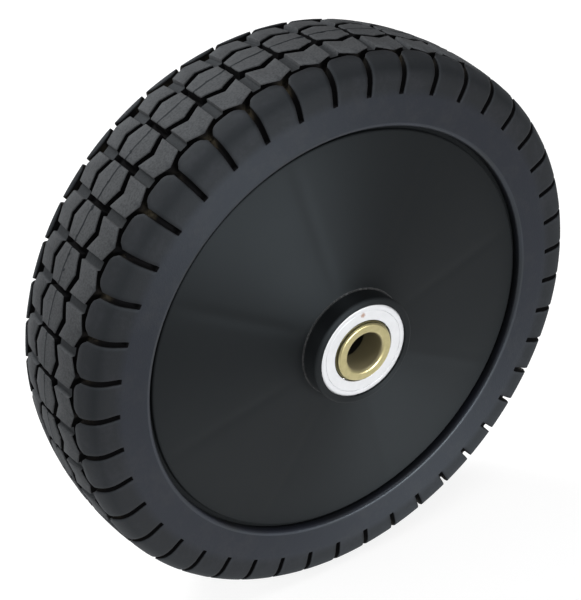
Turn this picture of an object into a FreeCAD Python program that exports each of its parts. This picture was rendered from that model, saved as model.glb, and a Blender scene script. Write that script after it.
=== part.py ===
"""Lawn mower wheel: a block-tread rubber tyre on a moulded rim that turns on two ball bearings.

Frame: the axle line is Y, the front of the wheel faces -Y, +Z is up, and the origin is on the axle
in the middle plane of the tyre. Lengths are millimetres and angles are degrees.
"""
import FreeCAD, Part
import math
import os
import re
import Sketcher

SIZES = {
    # Tyre section
    "tyre_diameter": 203.2,
    "tyre_width": 50.0,
    "tyre_section_height": 20.6,
    "crown_radius": 92.0,
    "shoulder_radius": 6.0,
    "sidewall_lean": 0.7,
    "lip_thickness": 4.8,
    "lip_depth": 4.4,
    "lip_round": 1.8,
    # Tread
    "tread_pitches": 44,
    "tread_phase": 2.43,
    "groove_depth": 3.2,
    "cross_groove_width": 3.5,
    "cross_groove_depth": 1.5,
    "hexagon_corner": 4.45,
    "block_point": 2.3,
    "hexagon_groove_width": 2.55,
    "chevron_groove_width": 2.6,
    "shoulder_block_length": 7.2,
    "shoulder_tip_width": 4.0,
    "shoulder_tip_rise": 2.7,
    "shoulder_tip_round": 4.5,
    "slot_width": 2.5,
    "slot_depth": 3.0,
    "slot_reach": 13.9,
    "slot_end_run": 2.1,
    # Rim
    "bead_clearance": 0.05,
    "barrel_wall": 3.0,
    "disc_gap": 1.0,
    "disc_recess": 3.17,
    "disc_rise": 2.9,
    "disc_wall": 3.5,
    "disc_edge_round": 0.6,
    "boss_height": 7.24,
    "boss_wall": 2.54,
    "boss_edge_round": 0.8,
    "boss_base_flare": 0.4,
    "seat_shoulder": 1.96,
    "rib_count": 8,
    "rib_angle": 17.5,
    "rib_wall": 3.0,
    "rib_barrel_inset": 3.2,
    "rib_hub_inset": 7.0,
    # Ball bearings, and how far apart they stand
    "hub_length": 60.3,
    "race_proud": 1.2,
    "bearing_recess": 0.5,
    "bore_diameter": 14.29,
    "bore_mouth_round": 1.2,
    "bore_back_chamfer": 0.4,
    "inner_race_length": 10.73,
    "inner_race_edge": 0.7,
    "outer_race_diameter": 34.925,
    "outer_race_length": 9.53,
    "outer_race_edge": 0.8,
    "track_wall": 1.34,
    "land_offset": 2.05,
    "shield_seat_wall": 2.06,
    "shield_gap": 0.8,
    "shield_wall": 0.7,
    "dust_lip_gap": 0.3,
    "dust_lip_recess": 0.3,
    "ball_diameter": 6.35,
    "ball_gap": 0.2,
    "ball_clearance": 0.05,
    # Spacer tube between the inner races
    "spacer_clearance": 0.4,
    "spacer_wall": 2.25,
}

# Tyre and tread, worked out from the sizes: offsets are sideways from the middle plane
PITCH_COUNT = "round(tread_pitches)"
PITCH = f"(pi * tyre_diameter / {PITCH_COUNT})"
TYRE_RADIUS = "(tyre_diameter / 2)"
HALF_WIDTH = "(tyre_width / 2)"
CROWN_CENTRE = f"({TYRE_RADIUS} - crown_radius)"
SHOULDER_OFFSET = f"({HALF_WIDTH} - shoulder_radius)"
SHOULDER_CENTRE = f"({CROWN_CENTRE} + sqrt((crown_radius - shoulder_radius)^2 - {SHOULDER_OFFSET}^2))"
SLOT_END = f"({TYRE_RADIUS} - slot_reach)"
BLOCK_HALF = f"({PITCH} - cross_groove_width) / 2"
HEXAGON_VERTEX = "(hexagon_corner + block_point)"
CHEVRON_INNER_CORNER = "(hexagon_corner + hexagon_groove_width)"
CHEVRON_INNER_VERTEX = f"({CHEVRON_INNER_CORNER} + block_point)"
SHOULDER_TIP = f"({HALF_WIDTH} - shoulder_block_length)"
SHOULDER_CORNER = f"({SHOULDER_TIP} + shoulder_tip_rise)"
CHEVRON_OUTER_CORNER = f"({SHOULDER_TIP} - chevron_groove_width)"
CHEVRON_OUTER_VERTEX = f"({CHEVRON_OUTER_CORNER} + block_point)"

# Rim
BARREL_RADIUS = f"({TYRE_RADIUS} - tyre_section_height)"
HALF_BARREL = f"({HALF_WIDTH} - lip_thickness)"
LIP_RADIUS = f"({BARREL_RADIUS} - lip_depth)"
DISC_RADIUS = f"({LIP_RADIUS} - disc_gap)"
DISC_EDGE = f"(disc_recess - {HALF_WIDTH})"
DISC_ROOT = f"({DISC_EDGE} - disc_rise)"
BOSS_FRONT = f"({DISC_ROOT} - boss_height)"

# Bearings: the front one is in front of the middle plane, and the rear one is its turned copy
BORE_RADIUS = "(bore_diameter / 2)"
OUTER_RACE_RADIUS = "(outer_race_diameter / 2)"
BOSS_RADIUS = f"({OUTER_RACE_RADIUS} + boss_wall)"
HUB_BORE_RADIUS = f"({OUTER_RACE_RADIUS} - seat_shoulder)"
SHIELD_SEAT_RADIUS = f"({OUTER_RACE_RADIUS} - shield_seat_wall)"
TRACK_RADIUS = "(ball_diameter / 2 + ball_clearance)"
BALL_CIRCLE = f"({OUTER_RACE_RADIUS} - track_wall - {TRACK_RADIUS})"
OUTER_LAND_RADIUS = f"({BALL_CIRCLE} + land_offset)"
INNER_LAND_RADIUS = f"({BALL_CIRCLE} - land_offset)"
SHIELD_HOLE_RADIUS = f"({INNER_LAND_RADIUS} + shield_gap)"
DUST_LIP_RADIUS = f"({SHIELD_HOLE_RADIUS} - dust_lip_gap)"
OUTER_RACE_FRONT = f"({BOSS_FRONT} + bearing_recess)"
OUTER_RACE_BACK = f"({OUTER_RACE_FRONT} + outer_race_length)"
BALL_PLANE = f"({OUTER_RACE_FRONT} + outer_race_length / 2)"
INNER_RACE_FRONT = f"({OUTER_RACE_FRONT} - race_proud)"
INNER_RACE_BACK = f"({INNER_RACE_FRONT} + inner_race_length)"
HUB_TURN = f"(hub_length + 2 * {INNER_RACE_FRONT})"
SPACER_BORE_RADIUS = f"({BORE_RADIUS} + spacer_clearance)"

SIZE_NAMES = re.compile(r"\b(" + "|".join(SIZES) + r")\b")
AXLE = FreeCAD.Vector(0, 1, 0)
ACROSS = FreeCAD.Vector(1, 0, 0)
FULL_TURN = 360
# Differences below this, in millimetres, degrees or as a share of a volume, count as none
TOLERANCE = 1e-4
# A cut that leaves more than this share of the volume has missed the material
MOST_LEFT_BY_CUT = 0.999

doc = FreeCAD.newDocument("lawn_mower_wheel")
sheet = doc.addObject("Spreadsheet::Sheet", "Sizes")
for row, (name, value) in enumerate(SIZES.items(), start=1):
    sheet.set(f"A{row}", name)
    sheet.set(f"B{row}", str(value))
    sheet.setAlias(f"B{row}", name)
doc.recompute()


def bound(expression):
    """The expression with each size name pointing at its cell."""
    return SIZE_NAMES.sub(r"Sizes.\1", expression)


def measure(expression):
    """The expression's value with the sizes as they stand."""
    return float(sheet.evalExpression(bound(expression)))


def bind(item, **expressions):
    """Tie properties of an object to expressions over the sizes."""
    for name, expression in expressions.items():
        item.setExpression(name, bound(expression))


def new_body(label):
    """Empty body, whose label names its file."""
    body = doc.addObject("PartDesign::Body", label)
    body.Label = label
    return body


def origin_part(body, role):
    """One of the body's own origin planes or axes."""
    return next(feature for feature in body.Origin.OriginFeatures if feature.Role == role)


def new_sketch(body, name, role="XY_Plane"):
    """Empty sketch on one of the body's own origin planes."""
    sketch = body.newObject("Sketcher::SketchObject", name)
    sketch.AttachmentSupport = [(origin_part(body, role), "")]
    sketch.MapMode = "FlatFace"
    return sketch


def pin_point(sketch, geometry, point, x, y):
    """Hold one point of a sketch at the expressions x and y."""
    for kind, expression, axis in (("DistanceX", x, -2), ("DistanceY", y, -1)):
        if expression == "0":
            sketch.addConstraint(Sketcher.Constraint("PointOnObject", geometry, point, axis))
            continue
        number = sketch.addConstraint(
            Sketcher.Constraint(kind, -1, 1, geometry, point, measure(expression))
        )
        sketch.setExpression(f"Constraints[{number}]", bound(expression))


def arc_between(start, end, radius):
    """Arc of under half a turn from start to end: counter-clockwise for a radius above zero."""
    chord = end - start
    sideways = FreeCAD.Vector(-chord.y, chord.x, 0).normalize()
    height = (radius**2 - (chord.Length / 2) ** 2) ** 0.5
    centre = (start + end) / 2 + sideways * height * (1 if radius > 0 else -1)
    toward_middle = ((start + end) / 2 - centre).normalize()
    return Part.Arc(start, centre + toward_middle * abs(radius), end)


def outline(sketch, corners):
    """Closed outline through the corners, each (x, y) or (x, y, radius of the arc to the next one)."""
    points = [FreeCAD.Vector(measure(corner[0]), measure(corner[1]), 0) for corner in corners]
    first = sketch.GeometryCount
    count = len(corners)
    starts = []
    ends = []
    for index, corner in enumerate(corners):
        start = points[index]
        end = points[(index + 1) % count]
        if len(corner) == 2:
            sketch.addGeometry(Part.LineSegment(start, end), False)
            clockwise = False
        else:
            radius = measure(corner[2])
            sketch.addGeometry(arc_between(start, end, radius), False)
            clockwise = radius < 0
        starts.append(2 if clockwise else 1)
        ends.append(1 if clockwise else 2)
    for index, corner in enumerate(corners):
        following = (index + 1) % count
        sketch.addConstraint(
            Sketcher.Constraint(
                "Coincident", first + index, ends[index], first + following, starts[following]
            )
        )
    for index, corner in enumerate(corners):
        pin_point(sketch, first + index, starts[index], corner[0], corner[1])
        if len(corner) == 3:
            number = sketch.addConstraint(
                Sketcher.Constraint("Radius", first + index, abs(measure(corner[2])))
            )
            sketch.setExpression(f"Constraints[{number}]", bound(f"abs({corner[2]})"))


def circle(sketch, x, y, radius):
    """Full circle about (x, y)."""
    centre = FreeCAD.Vector(measure(x), measure(y), 0)
    index = sketch.addGeometry(
        Part.Circle(centre, FreeCAD.Vector(0, 0, 1), measure(radius)), False
    )
    pin_point(sketch, index, 3, x, y)
    number = sketch.addConstraint(Sketcher.Constraint("Radius", index, measure(radius)))
    sketch.setExpression(f"Constraints[{number}]", bound(radius))


def turned(body, name, corners):
    """Section in the XY plane, radius along X, turned about the axle."""
    sketch = new_sketch(body, f"{name}_section")
    outline(sketch, corners)
    feature = body.newObject("PartDesign::Revolution", name)
    feature.Profile = sketch
    feature.ReferenceAxis = (sketch, ["V_Axis"])
    feature.Angle = FULL_TURN
    doc.recompute()
    return feature


def ring_edges(feature, radius, heights):
    """Names of the feature's circular edges of this radius at these places along the axle."""
    found = []
    for number, edge in enumerate(feature.Shape.Edges, start=1):
        if not isinstance(edge.Curve, Part.Circle):
            continue
        same_radius = abs(edge.Curve.Radius - measure(radius)) < TOLERANCE
        along = edge.Curve.Center.y
        if same_radius and any(abs(along - measure(height)) < TOLERANCE for height in heights):
            found.append(f"Edge{number}")
    return found


def rounded(body, name, base, edges, radius):
    """Fillet on the named edges of the last feature."""
    feature = body.newObject("PartDesign::Fillet", name)
    feature.Base = (base, edges)
    bind(feature, Radius=radius)
    doc.recompute()


def place(item, along="0", turn="0", axis=AXLE):
    """Shift an object along the axle and turn it about an axis through the origin."""
    item.Placement = FreeCAD.Placement(FreeCAD.Vector(0, measure(along), 0), FreeCAD.Rotation(axis, 1))
    bind(item, **{"Placement.Base.y": along, "Placement.Rotation.Angle": turn})


def polar(body, name, originals, count):
    """Repeat features around the axle."""
    pattern = body.newObject("PartDesign::PolarPattern", name)
    pattern.Originals = originals
    pattern.Axis = (origin_part(body, "Y_Axis"), [""])
    pattern.Angle = FULL_TURN
    bind(pattern, Occurrences=count)
    body.Tip = pattern
    doc.recompute()


def outward_pocket(body, sketch, name):
    """Cut from the sketch's plane, the groove's floor, out through the tread."""
    feature = body.newObject("PartDesign::Pocket", name)
    feature.Profile = sketch
    feature.Type = "ThroughAll"
    feature.Reversed = True


def slab_pocket(body, sketch, name, width):
    """Cut of parallel walls, centred on the sketch's radial plane."""
    feature = body.newObject("PartDesign::Pocket", name)
    feature.Profile = sketch
    feature.SideType = "Symmetric"
    bind(feature, Length=width)
    return feature


def crown_drop(offset):
    """How far the crown lies below its highest line, at an offset from the middle plane."""
    return f"(({offset})^2 / (2 * crown_radius))"


def tread_band_sketch(body, name, middle):
    """Sketch on the floor of a groove that runs round the tyre, at the middle of the groove's offset."""
    sketch = new_sketch(body, name)
    bind(sketch, **{"AttachmentOffset.Base.z": f"{TYRE_RADIUS} - groove_depth - {crown_drop(middle)}"})
    return sketch


def make_tyre():
    """Ring of equal sectors: the skin of one tread pitch, repeated around the axle and sewn shut."""
    sector = make_tyre_sector()
    count = int(measure(PITCH_COUNT))
    pitch_angle = FULL_TURN / count
    skin = [face for face in sector.Shape.Faces if not is_sector_end(face, pitch_angle / 2)]
    copies = []
    for number in range(count):
        turn = FreeCAD.Rotation(AXLE, number * pitch_angle)
        copies += [face.transformed(FreeCAD.Placement(FreeCAD.Vector(), turn).Matrix) for face in skin]
    ring = Part.makeCompound(copies)
    ring.sewShape()
    solid = Part.makeSolid(ring.Shells[0]).removeSplitter()
    if abs(solid.Volume - count * sector.Shape.Volume) > TOLERANCE * solid.Volume:
        raise RuntimeError("the sectors of the tyre didn't close into one ring")
    tyre = doc.addObject("Part::Feature", "tyre")
    tyre.Label = "tyre"
    tyre.Shape = solid
    place(tyre, turn="tread_phase")
    return tyre


def is_sector_end(face, half_angle):
    """Whether all of a face lies in one of the two radial planes that bound a sector."""
    angles = [math.degrees(math.atan2(vertex.X, vertex.Z)) for vertex in face.Vertexes]
    ends = (-half_angle, half_angle)
    return any(all(abs(angle - end) < TOLERANCE for angle in angles) for end in ends)


def make_tyre_sector():
    """One pitch of the tyre at the top of the wheel, from the middle of one cross groove to the next."""
    body = new_body("tyre_sector")
    seat = f"({BARREL_RADIUS} + bead_clearance)"
    lip_back = f"({HALF_BARREL} + bead_clearance)"
    lip_front = f"({HALF_WIDTH} - sidewall_lean)"
    sidewall_break = f"({SLOT_END} - slot_end_run / 2)"
    crown_share = "(crown_radius / (crown_radius - shoulder_radius))"
    crown_end = f"({SHOULDER_OFFSET} * {crown_share})"
    crown_end_radius = f"({CROWN_CENTRE} + ({SHOULDER_CENTRE} - {CROWN_CENTRE}) * {crown_share})"
    front_half = [
        (f"-{lip_back}", seat),
        (f"-{lip_back}", LIP_RADIUS),
        (f"-({lip_front} - lip_round)", LIP_RADIUS, "-lip_round"),
        (f"-{lip_front}", f"{LIP_RADIUS} + lip_round"),
        (f"-{HALF_WIDTH}", sidewall_break),
        (f"-{HALF_WIDTH}", SHOULDER_CENTRE, "-shoulder_radius"),
        (f"-{crown_end}", crown_end_radius, "-crown_radius"),
    ]
    rear_half = [
        (crown_end, crown_end_radius, "-shoulder_radius"),
        (HALF_WIDTH, SHOULDER_CENTRE),
        (HALF_WIDTH, sidewall_break),
        (lip_front, f"{LIP_RADIUS} + lip_round", "-lip_round"),
        (f"{lip_front} - lip_round", LIP_RADIUS),
        (lip_back, LIP_RADIUS),
        (lip_back, seat),
    ]
    section = new_sketch(body, "tyre_section", "YZ_Plane")
    outline(section, front_half + rear_half)
    carcass = body.newObject("PartDesign::Revolution", "carcass")
    carcass.Profile = section
    carcass.ReferenceAxis = (section, ["H_Axis"])
    carcass.Midplane = True
    bind(carcass, Angle=f"{FULL_TURN} / {PITCH_COUNT}")
    doc.recompute()
    for make_groove in (make_cross_grooves, make_hexagon_groove, make_chevron_groove, make_shoulder_slot):
        uncut = body.Shape.Volume
        make_groove(body)
        doc.recompute()
        if body.Shape.Volume > MOST_LEFT_BY_CUT * uncut:
            raise RuntimeError(f"{make_groove.__name__} cut too little")
    return body


def make_cross_grooves(body):
    """Grooves straight across the crown, half at each end of a sector, equally deep all along."""
    sketch = new_sketch(body, "cross_groove_sketch", "YZ_Plane")
    sketch.AttachmentOffset = FreeCAD.Placement(FreeCAD.Vector(), FreeCAD.Rotation(ACROSS, 1))
    bind(sketch, **{"AttachmentOffset.Rotation.Angle": f"{FULL_TURN / 2} / {PITCH_COUNT}"})
    floor = "(crown_radius - cross_groove_depth)"
    floor_end = f"{CROWN_CENTRE} + sqrt({floor}^2 - {SHOULDER_TIP}^2)"
    above = f"{TYRE_RADIUS} + cross_groove_depth"
    outline(
        sketch,
        [
            (f"-{SHOULDER_TIP}", floor_end, f"-{floor}"),
            (SHOULDER_TIP, floor_end),
            (SHOULDER_TIP, above),
            (f"-{SHOULDER_TIP}", above),
        ],
    )
    groove = slab_pocket(body, sketch, "cross_groove", "cross_groove_width")
    doc.recompute()
    both_ends = body.newObject("PartDesign::Mirrored", "cross_grooves")
    both_ends.Originals = [groove]
    both_ends.MirrorPlane = (origin_part(body, "YZ_Plane"), [""])
    body.Tip = both_ends


def make_hexagon_groove(body):
    """Bent groove on each side of the six-sided middle blocks, on into the next pitches."""
    sketch = tread_band_sketch(body, "hexagon_groove_sketch", HEXAGON_VERTEX)
    for side in (-1, 1):
        outline(
            sketch,
            [
                (f"-{PITCH}", f"{side} * hexagon_corner"),
                (f"-{BLOCK_HALF}", f"{side} * hexagon_corner"),
                ("0", f"{side} * {HEXAGON_VERTEX}"),
                (BLOCK_HALF, f"{side} * hexagon_corner"),
                (PITCH, f"{side} * hexagon_corner"),
                (PITCH, f"{side} * {CHEVRON_INNER_CORNER}"),
                (BLOCK_HALF, f"{side} * {CHEVRON_INNER_CORNER}"),
                ("0", f"{side} * {CHEVRON_INNER_VERTEX}"),
                (f"-{BLOCK_HALF}", f"{side} * {CHEVRON_INNER_CORNER}"),
                (f"-{PITCH}", f"{side} * {CHEVRON_INNER_CORNER}"),
            ],
        )
    outward_pocket(body, sketch, "hexagon_groove")


def make_chevron_groove(body):
    """Groove between the chevron blocks and the round-ended shoulder blocks."""
    sketch = tread_band_sketch(body, "chevron_groove_sketch", SHOULDER_TIP)
    tip = f"({PITCH} - shoulder_tip_width) / 2"
    slot = "slot_width / 2"
    for side in (-1, 1):
        outline(
            sketch,
            [
                (f"-{PITCH}", f"{side} * {CHEVRON_OUTER_CORNER}"),
                (f"-{BLOCK_HALF}", f"{side} * {CHEVRON_OUTER_CORNER}"),
                ("0", f"{side} * {CHEVRON_OUTER_VERTEX}"),
                (BLOCK_HALF, f"{side} * {CHEVRON_OUTER_CORNER}"),
                (PITCH, f"{side} * {CHEVRON_OUTER_CORNER}"),
                (PITCH, f"{side} * {SHOULDER_TIP}"),
                (tip, f"{side} * {SHOULDER_TIP}", f"{-side} * shoulder_tip_round"),
                (slot, f"{side} * {SHOULDER_CORNER}"),
                (f"-{slot}", f"{side} * {SHOULDER_CORNER}", f"{-side} * shoulder_tip_round"),
                (f"-{tip}", f"{side} * {SHOULDER_TIP}"),
                (f"-{PITCH}", f"{side} * {SHOULDER_TIP}"),
            ],
        )
    outward_pocket(body, sketch, "chevron_groove")


def make_shoulder_slot(body):
    """Slot between two shoulder blocks, over the shoulder and down the sidewall, on both sides."""
    sketch = new_sketch(body, "shoulder_slot_sketch", "YZ_Plane")
    floor_round = "(shoulder_radius - slot_depth)"
    floor_top = f"{SHOULDER_CENTRE} + {floor_round}"
    floor = f"({HALF_WIDTH} - slot_depth)"
    outside = f"({HALF_WIDTH} + slot_depth)"
    above = f"{TYRE_RADIUS} + slot_depth"
    for side in (-1, 1):
        outline(
            sketch,
            [
                (f"{side} * {SHOULDER_OFFSET}", floor_top, f"{-side} * {floor_round}"),
                (f"{side} * {floor}", SHOULDER_CENTRE),
                (f"{side} * {floor}", f"{SLOT_END} + slot_end_run"),
                (f"{side} * {outside}", f"{SLOT_END} - slot_end_run"),
                (f"{side} * {outside}", above),
                (f"{side} * {SHOULDER_OFFSET}", above),
            ],
        )
    slab_pocket(body, sketch, "shoulder_slot", "slot_width")


def make_rim():
    """One moulding: dished disc, hub boss with a bearing seat at each end, barrel and ribs behind."""
    body = new_body("wheel_rim")
    boss_back = f"({HUB_TURN} - {BOSS_FRONT})"
    rear_seat_floor = f"({HUB_TURN} - {OUTER_RACE_BACK})"
    barrel_bore = f"({BARREL_RADIUS} - barrel_wall)"
    shell = turned(
        body,
        "rim_shell",
        [
            (OUTER_RACE_RADIUS, BOSS_FRONT),
            (BOSS_RADIUS, BOSS_FRONT),
            (BOSS_RADIUS, f"{DISC_ROOT} - boss_base_flare"),
            (f"{BOSS_RADIUS} + boss_base_flare", DISC_ROOT),
            (f"{DISC_RADIUS} - disc_edge_round", DISC_EDGE, "disc_edge_round"),
            (DISC_RADIUS, f"{DISC_EDGE} + disc_edge_round"),
            (DISC_RADIUS, f"-{HALF_BARREL}"),
            (BARREL_RADIUS, f"-{HALF_BARREL}"),
            (BARREL_RADIUS, HALF_BARREL),
            (barrel_bore, HALF_BARREL),
            (barrel_bore, f"{DISC_EDGE} + disc_wall"),
            (BOSS_RADIUS, f"{DISC_ROOT} + disc_wall"),
            (BOSS_RADIUS, boss_back),
            (OUTER_RACE_RADIUS, boss_back),
            (OUTER_RACE_RADIUS, rear_seat_floor),
            (HUB_BORE_RADIUS, rear_seat_floor),
            (HUB_BORE_RADIUS, OUTER_RACE_BACK),
            (OUTER_RACE_RADIUS, OUTER_RACE_BACK),
        ],
    )
    boss_edges = ring_edges(shell, BOSS_RADIUS, (BOSS_FRONT, boss_back))
    rounded(body, "boss_round", shell, boss_edges, "boss_edge_round")
    rib_root = f"({BOSS_RADIUS} + {HUB_BORE_RADIUS}) / 2"
    rib_end = f"{BARREL_RADIUS} - barrel_wall / 2"
    rib_sketch = new_sketch(body, "rib_sketch")
    outline(
        rib_sketch,
        [
            (rib_root, f"{DISC_ROOT} + disc_wall / 2"),
            (rib_end, f"{DISC_EDGE} + disc_wall / 2"),
            (rib_end, f"{HALF_BARREL} - rib_barrel_inset"),
            (rib_root, f"{boss_back} - rib_hub_inset"),
        ],
    )
    rib = body.newObject("PartDesign::Pad", "rib")
    rib.Profile = rib_sketch
    rib.SideType = "Symmetric"
    bind(rib, Length="rib_wall")
    doc.recompute()
    polar(body, "ribs", [rib], "round(rib_count)")
    place(body, turn="-rib_angle")
    return body


def race_groove(body, name):
    """Ball track, cut round a race at the ball plane."""
    sketch = new_sketch(body, f"{name}_sketch")
    circle(sketch, BALL_CIRCLE, BALL_PLANE, TRACK_RADIUS)
    feature = body.newObject("PartDesign::Groove", name)
    feature.Profile = sketch
    feature.ReferenceAxis = (sketch, ["V_Axis"])
    feature.Angle = FULL_TURN
    uncut = body.Shape.Volume
    doc.recompute()
    if feature.Shape.Volume > MOST_LEFT_BY_CUT * uncut:
        raise RuntimeError(f"{name} cut nothing")


def seat_bearing_piece(body, end):
    """The rear bearing is the front one turned end for end about the hub's middle."""
    if end == "rear":
        place(body, along=HUB_TURN, turn="180", axis=ACROSS)
    else:
        place(body)


def make_outer_race(end):
    """Race that sits in the hub, with a step at each face for a shield."""
    body = new_body(f"{end}_outer_race")
    race = turned(
        body,
        "outer_ring",
        [
            (SHIELD_SEAT_RADIUS, OUTER_RACE_FRONT),
            (OUTER_RACE_RADIUS, OUTER_RACE_FRONT),
            (OUTER_RACE_RADIUS, OUTER_RACE_BACK),
            (SHIELD_SEAT_RADIUS, OUTER_RACE_BACK),
            (SHIELD_SEAT_RADIUS, f"{OUTER_RACE_BACK} - shield_wall"),
            (OUTER_LAND_RADIUS, f"{OUTER_RACE_BACK} - shield_wall"),
            (OUTER_LAND_RADIUS, f"{OUTER_RACE_FRONT} + shield_wall"),
            (SHIELD_SEAT_RADIUS, f"{OUTER_RACE_FRONT} + shield_wall"),
        ],
    )
    edges = ring_edges(race, OUTER_RACE_RADIUS, (OUTER_RACE_FRONT, OUTER_RACE_BACK))
    rounded(body, "outer_edges", race, edges, "outer_race_edge")
    race_groove(body, "outer_track")
    seat_bearing_piece(body, end)
    return body


def make_inner_race(end):
    """Race that the axle goes through, proud of its bearing, with a lip that closes the shield's hole."""
    body = new_body(f"{end}_inner_race")
    turned(
        body,
        "inner_ring",
        [
            (BORE_RADIUS, f"{INNER_RACE_FRONT} + bore_mouth_round", "bore_mouth_round"),
            (f"{BORE_RADIUS} + bore_mouth_round", INNER_RACE_FRONT),
            (f"{INNER_LAND_RADIUS} - inner_race_edge", INNER_RACE_FRONT, "inner_race_edge"),
            (INNER_LAND_RADIUS, f"{INNER_RACE_FRONT} + inner_race_edge"),
            (INNER_LAND_RADIUS, f"{OUTER_RACE_FRONT} + dust_lip_recess"),
            (DUST_LIP_RADIUS, f"{OUTER_RACE_FRONT} + dust_lip_recess"),
            (DUST_LIP_RADIUS, f"{OUTER_RACE_FRONT} + shield_wall"),
            (INNER_LAND_RADIUS, f"{OUTER_RACE_FRONT} + shield_wall"),
            (INNER_LAND_RADIUS, INNER_RACE_BACK),
            (f"{BORE_RADIUS} + bore_back_chamfer", INNER_RACE_BACK),
            (BORE_RADIUS, f"{INNER_RACE_BACK} - bore_back_chamfer"),
        ],
    )
    race_groove(body, "inner_track")
    seat_bearing_piece(body, end)
    return body


def make_shield(end, face):
    """Pressed ring that closes one face of a bearing, seated in the outer race."""
    body = new_body(f"{end}_{face}_shield")
    front = OUTER_RACE_FRONT if face == "outer" else f"({OUTER_RACE_BACK} - shield_wall)"
    turned(
        body,
        "shield_ring",
        [
            (SHIELD_HOLE_RADIUS, front),
            (SHIELD_SEAT_RADIUS, front),
            (SHIELD_SEAT_RADIUS, f"{front} + shield_wall"),
            (SHIELD_HOLE_RADIUS, f"{front} + shield_wall"),
        ],
    )
    seat_bearing_piece(body, end)
    return body


def make_balls(end):
    """As many balls as the ball circle holds side by side."""
    spacing = math.asin(measure(f"(ball_diameter + ball_gap) / (2 * {BALL_CIRCLE})"))
    count = math.floor(math.pi / spacing)
    along = BALL_PLANE if end == "front" else f"{HUB_TURN} - {BALL_PLANE}"
    balls = []
    for number in range(count):
        label = f"{end}_ball_{number + 1:02d}"
        angle = f"({number} * {FULL_TURN} / {count})"
        ball = doc.addObject("Part::Sphere", label)
        ball.Label = label
        bind(
            ball,
            **{
                "Radius": "ball_diameter / 2",
                "Placement.Base.x": f"{BALL_CIRCLE} * cos({angle})",
                "Placement.Base.y": along,
                "Placement.Base.z": f"{BALL_CIRCLE} * sin({angle})",
            },
        )
        balls.append(ball)
    return balls


def make_spacer():
    """Tube that holds the two inner races apart inside the hub."""
    body = new_body("spacer_tube")
    back = f"({HUB_TURN} - {INNER_RACE_BACK})"
    turned(
        body,
        "tube",
        [
            (SPACER_BORE_RADIUS, INNER_RACE_BACK),
            (f"{SPACER_BORE_RADIUS} + spacer_wall", INNER_RACE_BACK),
            (f"{SPACER_BORE_RADIUS} + spacer_wall", back),
            (SPACER_BORE_RADIUS, back),
        ],
    )
    place(body)
    return body


def make_bearing(end):
    """All pieces of the ball bearing at one end of the hub."""
    pieces = [make_outer_race(end), make_inner_race(end)]
    pieces += [make_shield(end, face) for face in ("outer", "inner")]
    return pieces + make_balls(end)


def check_and_write(pieces):
    """Write each piece to its own file once the whole document is sound."""
    doc.recompute()
    for item in doc.Objects:
        if "Invalid" in item.State or "Error" in item.State:
            raise RuntimeError(f"{item.Label} failed: {item.State}")
    for piece in pieces:
        if piece.Shape.isNull() or not piece.Shape.isValid():
            raise RuntimeError(f"{piece.Label} has no sound shape")
    os.makedirs("parts", exist_ok=True)
    for piece in pieces:
        piece.Shape.exportStep(os.path.join("parts", f"{piece.Label}.step"))


check_and_write(
    [make_tyre(), make_rim(), make_spacer()] + make_bearing("front") + make_bearing("rear")
)
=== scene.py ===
"""Lawn mower wheel: the looks of its tyre, rim and ball bearings, on a white stage.

The frame is the part's own: the axle is Y, the front faces -Y, +Z is up, and the origin is on the axle
in the tyre's middle plane. Lengths are metres. Angles around the axle start at +Z and grow towards +X.
"""
import math

import bpy
import numpy as np
from bpy.props import FloatProperty, FloatVectorProperty, IntProperty, PointerProperty
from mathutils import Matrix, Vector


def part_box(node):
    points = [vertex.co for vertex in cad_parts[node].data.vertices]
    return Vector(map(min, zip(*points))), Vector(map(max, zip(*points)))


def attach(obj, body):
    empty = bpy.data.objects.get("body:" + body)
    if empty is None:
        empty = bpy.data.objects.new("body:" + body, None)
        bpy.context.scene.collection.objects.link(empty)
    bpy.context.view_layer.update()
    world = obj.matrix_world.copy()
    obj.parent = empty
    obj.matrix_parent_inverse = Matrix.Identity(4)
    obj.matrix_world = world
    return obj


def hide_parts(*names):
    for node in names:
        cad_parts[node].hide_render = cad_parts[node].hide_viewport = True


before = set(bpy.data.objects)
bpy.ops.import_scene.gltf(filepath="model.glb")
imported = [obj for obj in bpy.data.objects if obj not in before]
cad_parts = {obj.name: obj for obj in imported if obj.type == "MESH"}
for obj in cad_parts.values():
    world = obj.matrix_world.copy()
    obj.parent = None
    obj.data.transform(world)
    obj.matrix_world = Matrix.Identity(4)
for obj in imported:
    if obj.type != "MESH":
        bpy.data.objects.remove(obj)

bl_info = {
    "name": "Lawn mower wheel",
    "version": (1, 0, 0),
    "blender": (4, 5, 0),
    "location": "View3D > Sidebar > Mower wheel",
    "description": "Builds the tyre, rim, bearings and stage of a lawn mower wheel",
    "category": "Object",
}

MM = 0.001
FULL_TURN = 2 * math.pi
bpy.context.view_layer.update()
TYRE_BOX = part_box("tyre")
# Size of the tyre in millimetres
TYRE_RADIUS = (TYRE_BOX[1].x - TYRE_BOX[0].x) / 2 / MM
TYRE_WIDTH = (TYRE_BOX[1].y - TYRE_BOX[0].y) / MM


def length(label, note, millimetres):
    """A size that a user may change."""
    return FloatProperty(
        name=label, description=note, default=millimetres * MM, unit="LENGTH", precision=5
    )


def colour(label, note, value):
    """A colour that a user may change."""
    return FloatVectorProperty(
        name=label, description=note, default=value, size=3, min=0, max=1, subtype="COLOR"
    )


def degrees(label, note, value):
    """A turn that a user may change."""
    return FloatProperty(name=label, description=note, default=math.radians(value), subtype="ANGLE")


def power(label, note, watts):
    """The strength of a light."""
    return FloatProperty(name=label, description=note, default=watts, unit="POWER")


def share(label, note, value):
    """A plain number from zero to one."""
    return FloatProperty(name=label, description=note, default=value, min=0, max=1, subtype="FACTOR")


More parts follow.
